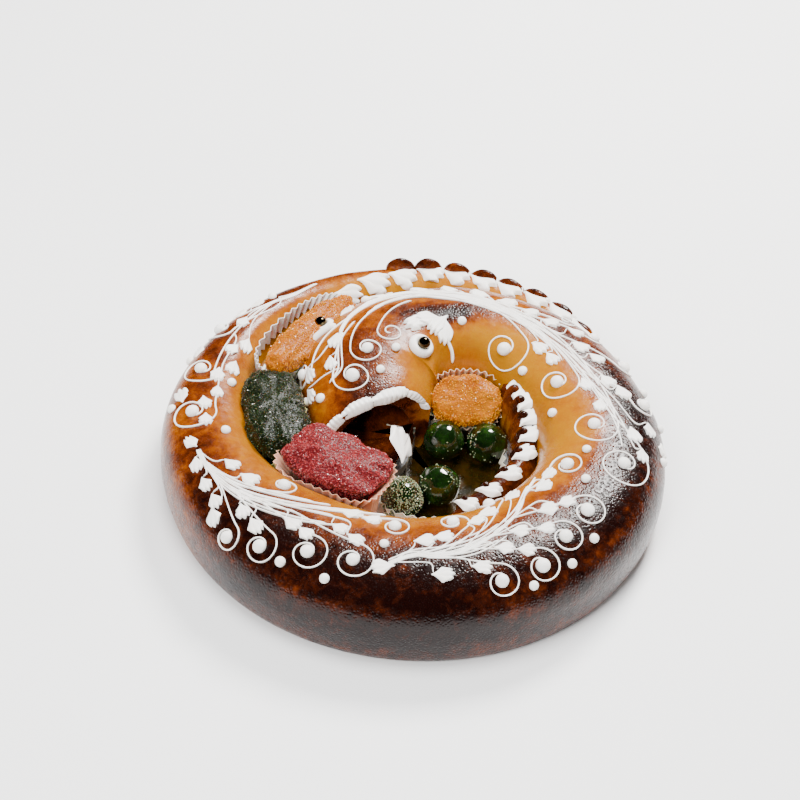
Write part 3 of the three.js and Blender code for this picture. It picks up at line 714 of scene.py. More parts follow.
# the jaw's outside: half width and height, as shares of those of its rim
JAW_FLANK = [(0.97, 0.86), (0.86, 0.68), (0.64, 0.5), (0.4, 0.34), (0.28, 0.15), (0.25, 0.0)]


def make_jaw():
    """The lower jaw: a trough with a dished top, darkest at its rim."""
    rings = []
    brown = []
    for y in np.linspace(JAW[0, 0], JAW[-1, 0], 30):
        half_width = float(np.interp(-y, -JAW[:, 0], JAW[:, 1]))
        rim = float(np.interp(-y, -JAW[:, 0], JAW[:, 2]))
        ring = []
        for j in range(25):
            a = math.pi * (1 - j / 24)
            dip = 0.9 * math.sin(a) ** 0.8
            ring.append([JAW_X + half_width * math.cos(a), y, rim * (1 - 0.62 * dip)])
            brown.append(0.62 + 0.2 * abs(math.cos(a)))
        for sign in (1, -1):
            for wide, high in JAW_FLANK[::sign]:
                ring.append([JAW_X + sign * wide * half_width, y, high * rim])
                brown.append(0.95 if high > 0.4 else 0.7)
        rings.append(ring)
    return single("eel_lower_jaw", MARZIPAN, *loft(rings), brown=np.array(brown + [0.6, 0.9]))


def lump(centre, semi, turn, around=28, rows=16):
    """An egg-shaped lump: points and faces. Its axes are radial, along and up."""
    rings = []
    for i in range(1, rows):
        a = math.pi * i / rows
        ring = []
        for j in range(around):
            b = 2 * math.pi * j / around
            ring.append([
                semi[0] * math.sin(a) * math.cos(b),
                semi[1] * math.sin(a) * math.sin(b),
                semi[2] * math.cos(a),
            ])
        rings.append(ring)
    points, faces = loft(rings)
    c, s = polar(turn)
    spin = np.array([[c, s, 0], [-s, c, 0], [0, 0, 1]])
    return points @ spin + np.asarray(centre, float), faces


# down the outer side of the strand and up the inner one: side, share of the height
STRAND_FLANK = [(1, 0.24), (1, 0.1), (1, 0.0), (-1, 0.0), (-1, 0.1), (-1, 0.24)]


def strand_at(angle):
    """Radius, half width and height of the strand."""
    return (float(between(STRAND, angle, column)) for column in (1, 2, 3))


def make_strand():
    """The tail's low end inside the ring, with its pinched lobes."""
    mesh = Mesh()
    rings = []
    brown = []
    for angle in np.linspace(STRAND[0, 0], STRAND[-1, 0], 90):
        radius, half_width, height = strand_at(angle)
        c, s = polar(angle)
        ring = []
        for j in range(25):
            a = math.pi * (1 - j / 24)
            across = half_width * math.copysign(abs(math.cos(a)) ** 0.8, math.cos(a))
            r = radius + across
            ring.append([r * c, r * s, height * (0.35 + 0.65 * math.sin(a))])
            brown.append(0.42 + 0.25 * math.sin(a) ** 3)
        for sign, level in STRAND_FLANK:
            r = radius + sign * (0.98 - 0.08 * (1 - level)) * half_width
            ring.append([r * c, r * s, height * level])
            brown.append(0.2)
        rings.append(ring)
    mesh.add(*loft(rings), brown=np.array(brown + [0.3, 0.3]))
    for i, angle in enumerate(STRAND_LOBES):
        radius, _, height = strand_at(angle)
        radius -= STRAND_LOBE["inset"]
        c, s = polar(angle)
        shrink = 1 - STRAND_LOBE["share"] * i
        centre = [radius * c, radius * s, 0.56 * height]
        semi = [STRAND_LOBE["across"] * shrink, STRAND_LOBE["along"] * shrink, 0.54 * height]
        points, faces = lump(centre, semi, angle)
        points = points + unit(points - centre) * (0.5 * wobble(points, 6, i))[:, None]
        top = np.clip((points[:, 2] - 0.55 * height) / (0.5 * height), 0, 1)
        mesh.add(points, faces, brown=0.14 + 0.72 * top ** 0.8)
    return mesh.build("eel_tail_tip", MARZIPAN)


def make_fin():
    """Pinched lobes along the tail's outer edge."""
    mesh = Mesh()
    for i, turn in enumerate(FIN_LOBES):
        height = FIN_LOBE["up"] - 0.11 * abs(turn - FIN_LOBE["tallest"])
        centre = skin(turn, FIN_LOBE_SIDE) - np.array([0, 0, FIN_LOBE["sink"]])
        semi = [FIN_LOBE["across"], FIN_LOBE["along"], height]
        points, faces = lump(centre, semi, LIP_ANGLE - turn, 30, 18)
        points = points + unit(points - centre) * (0.5 * wobble(points, 7, i + 20))[:, None]
        top = np.clip((points[:, 2] - centre[2]) / height, 0, 1)
        mesh.add(points, faces, brown=0.38 + 0.34 * top)
    return mesh.build("eel_fin", MARZIPAN)


body = make_body()
cut(body, mouth_space())
body.data.shade_smooth()
paint_body(body)
body_parts = [body, make_jaw(), make_strand(), make_fin()]

# ------------------------------------------------------------------ piped icing

LINE = 0.86        # width of a thin line
LINE_RISE = 0.8
PIPE_SIDES = 8     # facets over a line's back
PIPE_SINK = 0.35   # how deep its edges lie in the marzipan
PIPE_STEP = 1.1
BALL = 3.1         # radius of a curl's ball
DOT = 2.5          # radius of a loose dot
LEAF = (11.2, 7.6)  # length and width

# stems: runs of places [turn, side]
# curls: [ball turn, ball side, radius, hand, root turn, root side, root heading]
# dots: [turn, side]; leaves: [turn, side, heading]
SPRAYS = [
    {  # over the neck and along the right
        "stems": [
            [[30, 0.30], [45, 0.36], [57, 0.32], [70, 0.14],
             [94, 0.0], [114, -0.05], [138, 0.0], [158, 0.16]],
            [[48, 0.42], [64, 0.27], [82, 0.13], [104, 0.06], [124, 0.05], [146, 0.1]],
            [[44, 0.24], [60, 0.21], [78, 0.02], [100, -0.06], [118, -0.12]],
        ],
        "curls": [
            [97, -0.44, 13, 1, 78, 0.02, 180],
            [126, -0.31, 11.5, 1, 102, -0.06, 180],
            [150, -0.12, 12.5, 1, 122, -0.06, 180],
            [164, 0.22, 14, 1, 140, 0.02, 180],
            [104, 0.42, 5.5, -1, 84, 0.12, 180],
            [112, 0.50, 6, -1, 92, 0.1, 180],
            [124, 0.56, 6.5, -1, 104, 0.08, 180],
            [140, 0.47, 7, -1, 118, 0.06, 180],
        ],
        "dots": [[74, -0.28], [33, -0.22], [111, -0.5], [138, -0.5], [118, 0.72], [133, 0.65],
                 [144, 0.72], [155, 0.68]],
        "leaves": [[109, -0.19, 0], [116, -0.19, -10], [132, -0.06, 0], [142, -0.03, -10],
                   [116, 0.18, 20], [122, 0.24, 20], [132, 0.18, 20], [137, 0.27, 10], [110, 0.31, 20],
                   [153, 0.27, 10], [159, 0.38, 10], [149, 0.46, 10], [152, 0.68, 10], [62, 0.36, 170],
                   [70, 0.3, 170], [78, 0.24, 170], [52, 0.5, 180], [88, 0.22, 10], [96, 0.2, 20],
                   [103, 0.2, 20]],
    },
    {  # front right
        "stems": [
            [[245, 0.2], [238, 0.08], [226, 0.06], [212, -0.1], [200, -0.25], [190, -0.41], [180, -0.5]],
            [[241, 0.12], [230, 0.02], [218, -0.06], [206, -0.2]],
            [[236, 0.1], [222, 0.1], [210, 0.0]],
        ],
        "curls": [
            [217, 0.42, 9, 1, 232, 0.1, 0],
            [206, 0.40, 9.5, 1, 224, 0.05, 0],
            [196, 0.26, 9.5, 1, 216, -0.04, 0],
            [185, 0.19, 10, 1, 206, -0.16, 0],
            [171, -0.27, 8.5, 1, 190, -0.41, -30],
            [224, -0.33, 8, -1, 236, 0.04, 0],
            [204, -0.58, 7, -1, 222, -0.1, 0],
        ],
        "dots": [[190, 0.42], [199, 0.5], [210, 0.54], [162, -0.16], [175, -0.03]],
        "leaves": [[230, 0.28, 170], [220, 0.26, 170], [212, 0.13, 160], [207, 0.22, 160],
                   [205, 0.01, 160], [198, 0.1, 160], [192, -0.06, 160], [186, 0.0, 160],
                   [184, -0.31, 170], [177, -0.38, 170], [194, -0.49, 190], [234, -0.1, 190],
                   [228, -0.14, 190], [215, -0.28, 190], [209, -0.37, 190], [247, 0.24, 10]],
    },
    {  # front left
        "stems": [
            [[314, 0.22], [305, 0.19], [294, 0.09], [282, -0.09], [264, -0.34], [250, -0.5]],
            [[309, 0.2], [298, 0.06], [286, -0.14], [270, -0.34]],
            [[305, 0.22], [292, 0.16], [276, 0.02], [262, -0.12]],
        ],
        "curls": [
            [287, 0.56, 7, 1, 303, 0.2, 0],
            [278, 0.44, 9, 1, 297, 0.15, 0],
            [266, 0.28, 10, 1, 288, 0.05, 0],
            [254, 0.22, 10.5, 1, 278, -0.05, 0],
            [288, -0.30, 6.5, -1, 302, 0.12, 0],
            [245, -0.27, 7.5, 1, 264, -0.3, 0],
        ],
        "dots": [[271, 0.47], [259, 0.46], [247, -0.02]],
        "leaves": [[302, 0.34, 170], [296, 0.38, 160], [293, 0.52, 150], [288, 0.26, 160],
                   [282, 0.3, 160], [274, 0.08, 170], [269, 0.12, 165], [261, -0.08, 170],
                   [255, 0.0, 165], [304, -0.06, 200], [296, -0.1, 200], [261, -0.33, 190],
                   [253, -0.33, 190], [318, 0.28, 20], [309, 0.32, 160]],
    },
    {  # a chain of scrolls on the left
        "stems": [[[392, 0.03], [385, -0.09], [379, 0.0], [374, 0.06]]],
        "curls": [
            [363, 0.40, 9, 1, 381, 0.05, 90],
            [346, 0.19, 11, 1, 362, 0.02, 90],
            [329, 0.20, 12.5, 1, 345, 0.0, 90],
        ],
        "dots": [[361, 0.76], [352, 0.6], [333, 0.52], [343, -0.33], [320, -0.2], [380, 0.22]],
        "leaves": [[371, 0.44, 10], [367, 0.04, 190], [356, -0.16, 170], [349, -0.3, 170],
                   [360, -0.36, 190], [355, 0.52, 10], [344, -0.09, 180], [337, 0.4, 10],
                   [332, 0.03, 190], [325, 0.03, 180], [337, -0.14, 180], [376, 0.3, 10]],
    },
    {  # on the head
        "stems": [[[35, 0.3], [28, 0.28], [22, 0.3], [17, 0.42]]],
        "curls": [
            [28, 0.78, 8.5, 1, 44, 0.34, 0],
            [18, 0.18, 10.5, -1, 40, 0.26, 0],
            [30, 0.03, 9, -1, 50, 0.22, 0],
            [41, -0.10, 7, -1, 58, 0.14, 0],
        ],
        "dots": [[18, 0.82], [12, 0.56], [50, 0.52], [21, -0.1]],
        "leaves": [[45, 0.52, 10], [32, 0.34, 180], [25, 0.38, 170], [25, 0.64, 190], [17, 0.7, 190],
                   [37, 0.72, 190], [38, 0.56, 180]],
    },
]
# the curls that have no ball
BALL_LESS = [(41, -0.10), (104, 0.42)]
CURL_TURNS = 1.3
CURL_STEPS = 64
CURL_TAIL = 90     # how far a curl's line goes on along its stem
STEM_GAP = 0.036   # between a stem's two lines, in units of side
LANE = 0.044       # between the lines that follow a stem, in units of side
SETTLE = 28        # millimetres in which a line draws near to its lane
STALK = 6.2        # from a leaf's place to the end of its stalk
STALK_REACH = (2, 24)  # distances from a stem at which a leaf gets a line of its own

icing = Mesh()
chance = random.Random(7)


def pipe(path, width=LINE, rise=LINE_RISE):
    """A round-backed line of icing along places (turn, side) of the skin."""
    path = np.asarray(path, float)
    here = skin(path[:, 0], path[:, 1])
    normal = skin_normal(path[:, 0], path[:, 1])
    ahead = unit(np.gradient(here, axis=0))
    beside = unit(np.cross(normal, ahead))
    count = len(path)
    distance = np.minimum(np.arange(count), np.arange(count)[::-1])
    taper = np.clip((distance + 0.35) / 2.2, 0, 1) ** 0.5
    uneven = 1 + 0.08 * wobble(here, 2.5, 4) + 0.08 * wobble(here, 9, 5)
    rings = []
    for j in range(PIPE_SIDES + 1):
        a = math.pi * j / PIPE_SIDES
        at_skin = j in (0, PIPE_SIDES)
        across = math.cos(a) * width / 2 * taper * uneven
        up = (0.0 if at_skin else math.sin(a) ** 0.85) * rise * taper * uneven
        if at_skin:
            up = up - PIPE_SINK
        rings.append(here + beside * across[:, None] + normal * up[:, None])
    icing.add(*loft(np.stack(rings, axis=1)))


def lengths(path):
    """How far along the skin each place of a path is from its first, in millimetres."""
    here = skin(path[:, 0], path[:, 1])
    return np.concatenate([[0], np.cumsum(np.linalg.norm(np.diff(here, axis=0), axis=1))])


def spread(path):
    """A path resampled so that its places are about PIPE_STEP millimetres apart."""
    path = np.asarray(path, float)
    gone = lengths(path)
    count = max(3, int(gone[-1] / PIPE_STEP))
    at = np.linspace(0, gone[-1], count)
    return np.stack([np.interp(at, gone, path[:, k]) for k in (0, 1)], -1)


def smooth_run(places):
    """A Catmull-Rom curve through places."""
    p = np.asarray(places, float)
    p = np.concatenate([[2 * p[0] - p[1]], p, [2 * p[-1] - p[-2]]])
    out = []
    for i in range(1, len(p) - 2):
        for u in np.linspace(0, 1, 12, endpoint=False):
            out.append(0.5 * ((2 * p[i]) + (p[i + 1] - p[i - 1]) * u
                              + (2 * p[i - 1] - 5 * p[i] + 4 * p[i + 1] - p[i + 2]) * u * u
                              + (3 * p[i] - p[i - 1] - 3 * p[i + 1] + p[i + 2]) * u ** 3))
    out.append(p[-2])
    return np.array(out)


def curl(ball_turn, ball_side, radius, hand, root_turn, root_side, heading, run, order):
    """A scroll from its ball to its root on a stem, and on along the stem."""
    per_turn, per_side = (float(v) for v in scales(ball_turn, ball_side))
    target = np.array([(root_turn - ball_turn) * per_turn, (root_side - ball_side) * per_side])
    distance = float(np.hypot(*target))
    bearing = math.atan2(target[1], target[0])
    leave = bearing - hand * math.acos(min(1.0, radius / max(distance, radius)))
    flat = []
    for i in range(CURL_STEPS + 1):
        share = i / CURL_STEPS
        a = leave - hand * (1 - share) * CURL_TURNS * 2 * math.pi
        r = radius * (1 - (1 - share) ** 1.5 * 0.86)
        flat.append([r * math.cos(a), r * math.sin(a)])
    start = np.array(flat[-1])
    gone = float(np.hypot(*(target - start)))
    out = np.array([-hand * math.sin(leave), hand * math.cos(leave)])
    arrive = np.array(polar(heading))
    for i in range(1, 25):
        u = i / 24
        flat.append((2 * u ** 3 - 3 * u ** 2 + 1) * start + (u ** 3 - 2 * u ** 2 + u) * gone * out
                    + (3 * u ** 2 - 2 * u ** 3) * target + (u ** 3 - u ** 2) * gone * arrive)
    flat = np.array(flat)
    path = np.stack([ball_turn + flat[:, 0] / per_turn, ball_side + flat[:, 1] / per_side], -1)
    tail = follow(run, root_turn, root_side, order)
    if len(tail) > 2:
        path = np.concatenate([path[:-1], tail])
    pipe(spread(path), LINE * (1 + 0.02 * (radius - 9)))
    if (ball_turn, ball_side) not in BALL_LESS:
        ball(ball_turn, ball_side, BALL * (0.9 + 0.02 * radius))


# width and height, in radii
BALL_PROFILE = [
    (0.94, -0.3), (1.0, 0.05), (1.0, 0.32), (0.9, 0.58), (0.7, 0.78), (0.42, 0.93), (0.16, 1.03),
]


def frame_at(turn, side):
    """A place of the skin, its normal, and the ways along the coil and across it."""
    here = skin(turn, side)
    normal = skin_normal(turn, side)
    along = unit(degree_of_skin(turn, side))
    over = np.cross(normal, along)
    return here, normal, along, over


def ball(turn, side, radius):
    here, normal, along, over = frame_at(turn, side)
    lean = np.array([chance.uniform(-0.12, 0.12), chance.uniform(-0.12, 0.12)])
    size = radius * chance.uniform(0.93, 1.07)
    rings = []
    for wide, high in BALL_PROFILE:
        ring = []
        for j in range(18):
            a = 2 * math.pi * j / 18
            x = size * (wide * math.cos(a) + lean[0] * max(0, high))
            y = size * (wide * math.sin(a) + lean[1] * max(0, high))
            ring.append(here + along * x + over * y + normal * high * size)
        rings.append(ring)
    icing.add(*loft(rings))


# Both kinds of leaf. rows: points each way; stalk: share of the width at the tail; full: share
# of the length where it is widest; wave: how much its edge waves, and how often; notch: how far
# its corners and the gaps between its lobes draw back; behind: share of it behind its place;
# bend: how much it waves sideways, and how often; rim: exponents of its cross-section;
# crown: height between lobes, what a lobe adds, and the share where the tail reaches it;
# front: height of the last row but one; swell: height at the tail, and what the end adds.
RAISED_LEAF = {"rows": 15, "stalk": 0.06, "full": 0.72, "wave": (0.1, 9), "notch": (0.2, 0.16),
               "behind": 0.6, "bend": (0.06, 7), "rim": (3, 0.6), "crown": (0.62, 0.38, 0.12),
               "front": 0.75, "swell": (0.55, 0.45)}
FLAT_LEAF = {"rows": 17, "stalk": 0.07, "full": 0.7, "wave": (0.13, 11), "notch": (0.22, 0.18),
             "behind": 0.62, "bend": (0.08, 9), "rim": (4, 0.5), "crown": (0.6, 0.4, 0.1),
             "front": 0.8, "swell": (0.5, 0.5)}
LEAF_SINK = 0.4


def leaf_shape(kind, length, width, rise, seed):
    """A piped leaf: a pointed tail that widens into three ragged lobes. Gives x, y, up."""
    rows = kind["rows"]
    shape = []
    for i in range(rows):
        u = i / (rows - 1)
        step = min(1, u / kind["full"])
        wide = kind["stalk"] + (1 - kind["stalk"]) * (3 * step ** 2 - 2 * step ** 3)
        wide *= 1 + kind["wave"][0] * math.sin(kind["wave"][1] * u + seed) * u
        for j in range(rows):
            v = 2 * j / (rows - 1) - 1
            lobes = abs(math.cos(1.5 * math.pi * v))
            end = 1 - kind["notch"][0] * v * v - kind["notch"][1] * (1 - lobes) * min(1, u / 0.8)
            x = length * (u * end - kind["behind"])
            y = width / 2 * wide * v * (1 + kind["bend"][0] * math.sin(5 * seed + kind["bend"][1] * v))
            edge = max(0.0, 1 - abs(v) ** kind["rim"][0]) ** kind["rim"][1]
            low, lobe, start = kind["crown"]
            crown = edge * (low + lobe * lobes * u) * min(1, u / start) ** 0.7
            if i == rows - 1:
                crown = 0
            elif i == rows - 2:
                crown *= kind["front"]
            up = rise * (kind["swell"][0] + kind["swell"][1] * u) * crown
            shape.append((x, y, up - (LEAF_SINK if crown == 0 else 0.0)))
    return shape


def leaf_on(frame_here, heading, size, rise, seed):
    """A leaf that stands in a frame of its own."""
    here, normal, along, over = frame_here
    a = math.radians(heading)
    ahead = along * math.cos(a) + over * math.sin(a)
    beside = np.cross(normal, ahead)
    shape = leaf_shape(RAISED_LEAF, *size, rise, seed)
    points = [here + ahead * x + beside * y + normal * up for x, y, up in shape]
    icing.add(points, grid_faces(RAISED_LEAF["rows"], RAISED_LEAF["rows"]))


def leaf(turn, side, heading, size=LEAF, rise=1.8):
    """A leaf that follows the skin under it."""
    seed = chance.uniform(0, 6)
    grow = chance.uniform(0.9, 1.12)
    tilt = chance.uniform(-8, 8)
    per_turn, per_side = (float(v) for v in scales(turn, side))
    a = math.radians(heading + tilt)
    ahead = np.array([math.cos(a), math.sin(a)])
    beside = np.array([-math.sin(a), math.cos(a)])
    shape = leaf_shape(FLAT_LEAF, size[0] * grow, size[1] * grow, rise, seed)
    flat = np.array([ahead * x + beside * y for x, y, _ in shape])
    ups = np.array([up for _, _, up in shape])
    turns = turn + flat[:, 0] / per_turn
    sides = np.clip(side + flat[:, 1] / per_side, -1.04, 1.04)
    points = skin(turns, sides) + skin_normal(turns, sides) * ups[:, None]
    icing.add(points, grid_faces(FLAT_LEAF["rows"], FLAT_LEAF["rows"]))


def stem(places):
    """Two lines along a stem, which close up at both ends, and the stem's own run."""
    run = smooth_run(places)
    share = np.linspace(0, 1, len(run))
    for k, first, last in ((-0.5, 0.0, 0.9), (0.5, 0.05, 1.0)):
        path = run.copy()
        path[:, 1] += k * STEM_GAP * np.sin(np.pi * np.clip(share, 0.08, 1)) ** 0.6
        kept = path[int(first * len(run)):max(int(last * len(run)), 4)]
        pipe(spread(kept))
    return run


def follow(run, turn, side, order):
    """The way from a place beside a stem to the stem's first end, closing up with it."""
    nearest = int(np.argmin(np.abs(run[:, 0] - turn)))
    away = side - run[nearest, 1]
    back = run[:nearest + 1][::-1]
    if len(back) < 3:
        return np.zeros((0, 2))
    gone = lengths(back)
    decay = np.exp(-gone / SETTLE)
    lane = LANE * (order % 5 - 2)
    path = back.copy()
    path[:, 1] += away * decay + lane * (1 - decay) * np.clip(1 - gone / (CURL_TAIL + 1), 0.15, 1)
    return path[gone <= CURL_TAIL]


def tail_of_leaf(run, turn, side, heading):
    """A thin line from a leaf's stalk back to the stem."""
    per_turn, per_side = (float(v) for v in scales(turn, side))
    a = math.radians(heading + 180)
    stalk = np.array([turn + math.cos(a) * STALK / per_turn, side + math.sin(a) * STALK / per_side])
    gap_mm = np.hypot((run[:, 0] - stalk[0]) * per_turn, (run[:, 1] - stalk[1]) * per_side)
    nearest = int(np.argmin(gap_mm))
    ahead = max(0, nearest - 14)
    if not STALK_REACH[0] <= gap_mm[nearest] <= STALK_REACH[1] or ahead == nearest:
        return
    beyond = np.array([math.cos(a) * 4 / per_turn, math.sin(a) * 4 / per_side])
    bend = (stalk + beyond + run[nearest]) / 2
    pipe(spread(smooth_run([stalk, bend, run[ahead]])), 0.85 * LINE, 0.85 * LINE_RISE)


for spray in SPRAYS:
    runs = [stem(places) for places in spray["stems"]]
    for order, row in enumerate(spray["curls"]):
        curl(*row, runs[0], order)
    for turn, side in spray["dots"]:
        ball(turn, side, DOT)
    for turn, side, heading in spray["leaves"]:
        leaf(turn, side, heading)
        tail_of_leaf(runs[0], turn, side, heading)

# ---- the upper lip's combed band

# from side, to side, width
LIP_PIECES = [
    (0.84, 0.42, 6.0), (0.47, 0.04, 8.4), (0.10, -0.38, 9.4), (-0.30, -0.64, 9.6), (-0.58, -0.78, 10.0),
]


LIP_RIBS = 8
LIP_RISE = 2.3
LIP_DROP = 2.6


def combed(from_side, to_side, width):
    """One combed piece of icing that laps over the lip."""
    rows = 46
    columns = 13
    points = []
    for i in range(rows):
        u = i / (rows - 1)
        side = from_side + (to_side - from_side) * u
        grow = min(1.0, 0.25 + 1.6 * u) * (1 if u < 0.93 else 0.8)
        rib = 0.5 + 0.5 * abs(math.sin(math.pi * u * LIP_RIBS)) ** 0.7
        here, normal, inward, _ = frame_at(0.4, side)
        reach = width * grow / 2 * (0.86 + 0.14 * rib)
        for j in range(columns):
            a = math.pi * (0.02 + 0.98 * (j / (columns - 1)))
            x = reach * math.cos(a) * (1 if math.cos(a) > 0 else 0.55)
            up = LIP_RISE * rib * grow * math.sin(a) ** 0.8 - 0.3
            down = LIP_DROP * max(0, -math.cos(a)) ** 1.2
            points.append(here + inward * x + normal * (up - down))
    icing.add(points, grid_faces(rows, columns))


for piece in LIP_PIECES:
    combed(*piece)

# ---- leaves on the fin, the tail tip and the lower jaw

for turn, side in FIN_LEAVES:
    leaf(turn - 0.6, side + 0.06, -12, (18.5, 13), 3.2)
for i, angle in enumerate(STRAND_LOBES):
    radius, _, height = strand_at(angle)
    out = np.array([*polar(angle), 0])
    along = np.array([out[1], -out[0], 0])
    here = out * (radius + 1) + np.array([0, 0, height - 0.6])
    size = (17.5 - 0.5 * i, 12.5 - 0.5 * i)
    leaf_on((here, np.array([0, 0, 1.0]), along, out), 128, size, 3.2, seed=i)
jaw_normal = unit(np.array([0.75, 0, 0.66]))
jaw_along = np.array([0, 1.0, 0])
jaw_over = np.cross(jaw_normal, jaw_along)
leaf_on((np.array([-7.0, 3, 24.6]), jaw_normal, jaw_along, jaw_over), 12, (24, 18), 3.0, seed=2)

# ---- eyes

EYES = [{"at": (45, -0.41), "tilt": 0}, {"at": (39, 0.64), "tilt": 0.9}]
# the near eye's brow: one long leaf that ends in a thin tail; the far eye's: a bar
BROW_TAIL = [(63, -0.36), (65.5, -0.5), (67.5, -0.64), (67.5, -0.76)]
BROW_BAR = [(33, 0.82), (34, 0.72), (35.5, 0.58), (38, 0.42)]
EYE_RING = 6.8
EYE_RISE = 3.2
BEAD_RADIUS = 3.4
# width in radii, height in millimetres
RING_PROFILE = [
    (1.0, -2.0), (1.04, 0.4), (1.0, 1.7), (0.86, 2.9), (0.68, 3.3), (0.54, 2.9), (0.48, 2.0),
]


def eye_frame(eye):
    here, normal, along, _ = frame_at(*eye["at"])
    normal = unit(normal + np.array([0, 0, eye["tilt"]]))
    along = unit(along - normal * float(along @ normal))
    return here, normal, along, np.cross(normal, along)


def brow_leaf():
    """Lobes side by side along a line over the near eye, like an ivy leaf."""
    leaf(53, -0.17, 190, (19, 9.5), 2.8)
    leaf(58, -0.17, 160, (17, 10), 2.8)
    leaf(61.5, -0.3, 220, (17, 10), 2.8)
    leaf(64.5, -0.42, 255, (15, 8), 2.6)
    pipe(spread(smooth_run(BROW_TAIL)), 1.9, 1.5)


eye_beads = []
for number, eye in enumerate(EYES):
    here, normal, along, over = eye_frame(eye)
    rings = []
    for wide, high in RING_PROFILE:
        rings.append([
            here + (along * math.cos(a) + over * math.sin(a)) * EYE_RING * wide + normal * high
            for a in np.linspace(0, 2 * math.pi, 36, endpoint=False)])
    icing.add(*loft(rings))
    centre = here + normal * (EYE_RISE + 0.2 * BEAD_RADIUS)
    eye_beads.append(single(f"eye_bead_{number + 1}", BEAD, *lump(centre, [BEAD_RADIUS] * 3, 0, 32, 20)))
brow_leaf()
pipe(spread(smooth_run(BROW_BAR)), 4.6, 2.7)

icing_piece = icing.build("piped_icing", ICING)

# ------------------------------------------------------------------ paper cases and fruits

CASES = [
    {"name": "cherries", "at": [15, -4, 0], "size": [33, 37], "height": 14,
     "squareness": 4, "pleats": 44, "colour": (0.62, 0.56, 0.44)},
    {"name": "red", "at": [-39, -32, 0], "size": [30, 19.5], "height": 38, "turn": -24,
     "squareness": 3.4, "foot": 0.66, "waist": (0.78, 28), "pleats": 38, "colour": (0.80, 0.42, 0.28),
     "fruit": {"rise": 7.5, "inset": [2.5, 2.5], "shift": [0, 0.8], "lumps": 0.05, "seed": 1,
               "coarse": 3.2}},
    {"name": "green", "at": [-73, 5, 0], "size": [17.5, 33], "height": 31, "turn": 12,
     "squareness": 3, "foot": 0.72, "pleats": 36, "colour": (0.62, 0.58, 0.24),
     "fruit": {"rise": 13, "inset": [1.5, 1.5], "lumps": 0.05, "seed": 2}},
    {"name": "orange_centre", "at": [26.5, 46, 15], "size": [20.5, 16], "height": 13, "tip": 38,
     "pleats": 34, "colour": (0.90, 0.66, 0.44),
     "fruit": {"rise": 7, "inset": [2, 2.5], "shift": [-0.5, -1.5], "lumps": 0.04, "seed": 3}},
    {"name": "orange_back", "at": [-67, 73, 20], "size": [15, 37], "height": 17, "turn": -33,
     "pitch": 20, "foot": 0.8, "pleats": 40, "colour": (0.92, 0.90, 0.86),
     "fruit": {"rise": 8, "inset": [4, 1.5], "shift": [3.5, 0], "lumps": 0.06, "seed": 4}},
]


def case_levels(row):
    """Scale and height of a case's wall from its foot to its rim."""
    foot = row.get("foot", CASE_FOOT)
    keys = [(foot, 0.0), (1.0, float(row["height"]))]
    if "waist" in row:
        keys.insert(1, row["waist"])
    return [k[1] for k in keys], [k[0] for k in keys]


def placed(points, row):
    """From a case's own frame to its place."""
    turns = [("X", row.get("tip", 0)), ("Y", row.get("pitch", 0)), ("Z", row.get("turn", 0))]
    matrix = Matrix.Identity(3)
    for axis, degrees in turns:
        matrix = Matrix.Rotation(math.radians(degrees), 3, axis) @ matrix
    return np.asarray(points, float) @ np.array(matrix).T + np.array(row["at"], float)


def oval(row, count, scale, inset, z, flute=None):
    """A ring of points on a case's rounded rectangle, scaled and then drawn in."""
    exponent = row.get("squareness", 2.4)
    a = np.linspace(0, 2 * math.pi, count, endpoint=False)
    c, s = np.cos(a), np.sin(a)
    reach = (np.abs(c) ** exponent + np.abs(s) ** exponent) ** (-1 / exponent)
    grow = flute(a) if flute else 0.0
    rx = row["size"][0] * scale - inset + grow
    ry = row["size"][1] * scale - inset + grow
    return np.stack([rx * reach * c, ry * reach * s, np.full(count, float(z))], -1)


def make_case(row):
    """A fluted paper case with a thin wall and an uneven rim."""
    count = row["pleats"] * 8
    seed = len(row["name"])
    heights, widths = case_levels(row)
    around = np.linspace(0, 2 * math.pi, count, endpoint=False)

    def flute(a):
        phase = a * row["pleats"] / (2 * math.pi) + 0.25 * np.sin(3 * a + seed)
        fold = 2 * np.abs(2 * (phase % 1) - 1) - 1
        return 0.62 * FLUTE_DEPTH * fold

    top = row["height"] + 0.5 * np.sin(5 * around + seed) + 0.25 * np.sin(13 * around + 2 * seed)
    thickness = 0.3
    rings = []
    for inset in (0, thickness):
        levels = np.linspace(0, 1, 9) if inset == 0 else np.linspace(1, 0, 9)
        for level in levels:
            z = np.maximum(inset, top * level)
            scale = float(np.interp(row["height"] * level, heights, widths))
            ring = oval(row, count, scale, inset, 0, flute)
            ring[:, 2] = z
            rings.append(ring)
    rings = np.array(rings)
    wet = np.zeros(rings.shape[:2])
    if row["name"] == "cherries":
        rings = beside_the_jaw(rings, row)
        # syrup and painted shade: the inside wall darkens towards the floor, between the cherries
        wet[9:] = np.clip((10.5 - rings[9:, :, 2]) / 3, 0, 1)
    points, faces = loft(rings)
    name = f"paper_{row['name']}"
    # the last value darkens the middle of each case's floor, as syrup and painted shade
    return single(name, paper_material(name, row["colour"]), placed(points, row), faces,
                  smooth=False, wet=np.concatenate([wet.ravel(), [0, 1]]))


def beside_the_jaw(rings, row):
    """The cherries' case is pressed in where the lower jaw lies."""
    x = rings[..., 0] + row["at"][0]
    y = rings[..., 1] + row["at"][1]
    side = JAW_X + np.interp(-y, -JAW[:, 0], JAW[:, 1]) + 1.6
    near = (y > -20.5) & (y < 25)
    x = np.where(near, np.maximum(x, side), x)
    rings[..., 0] = x - row["at"][0]
    return rings


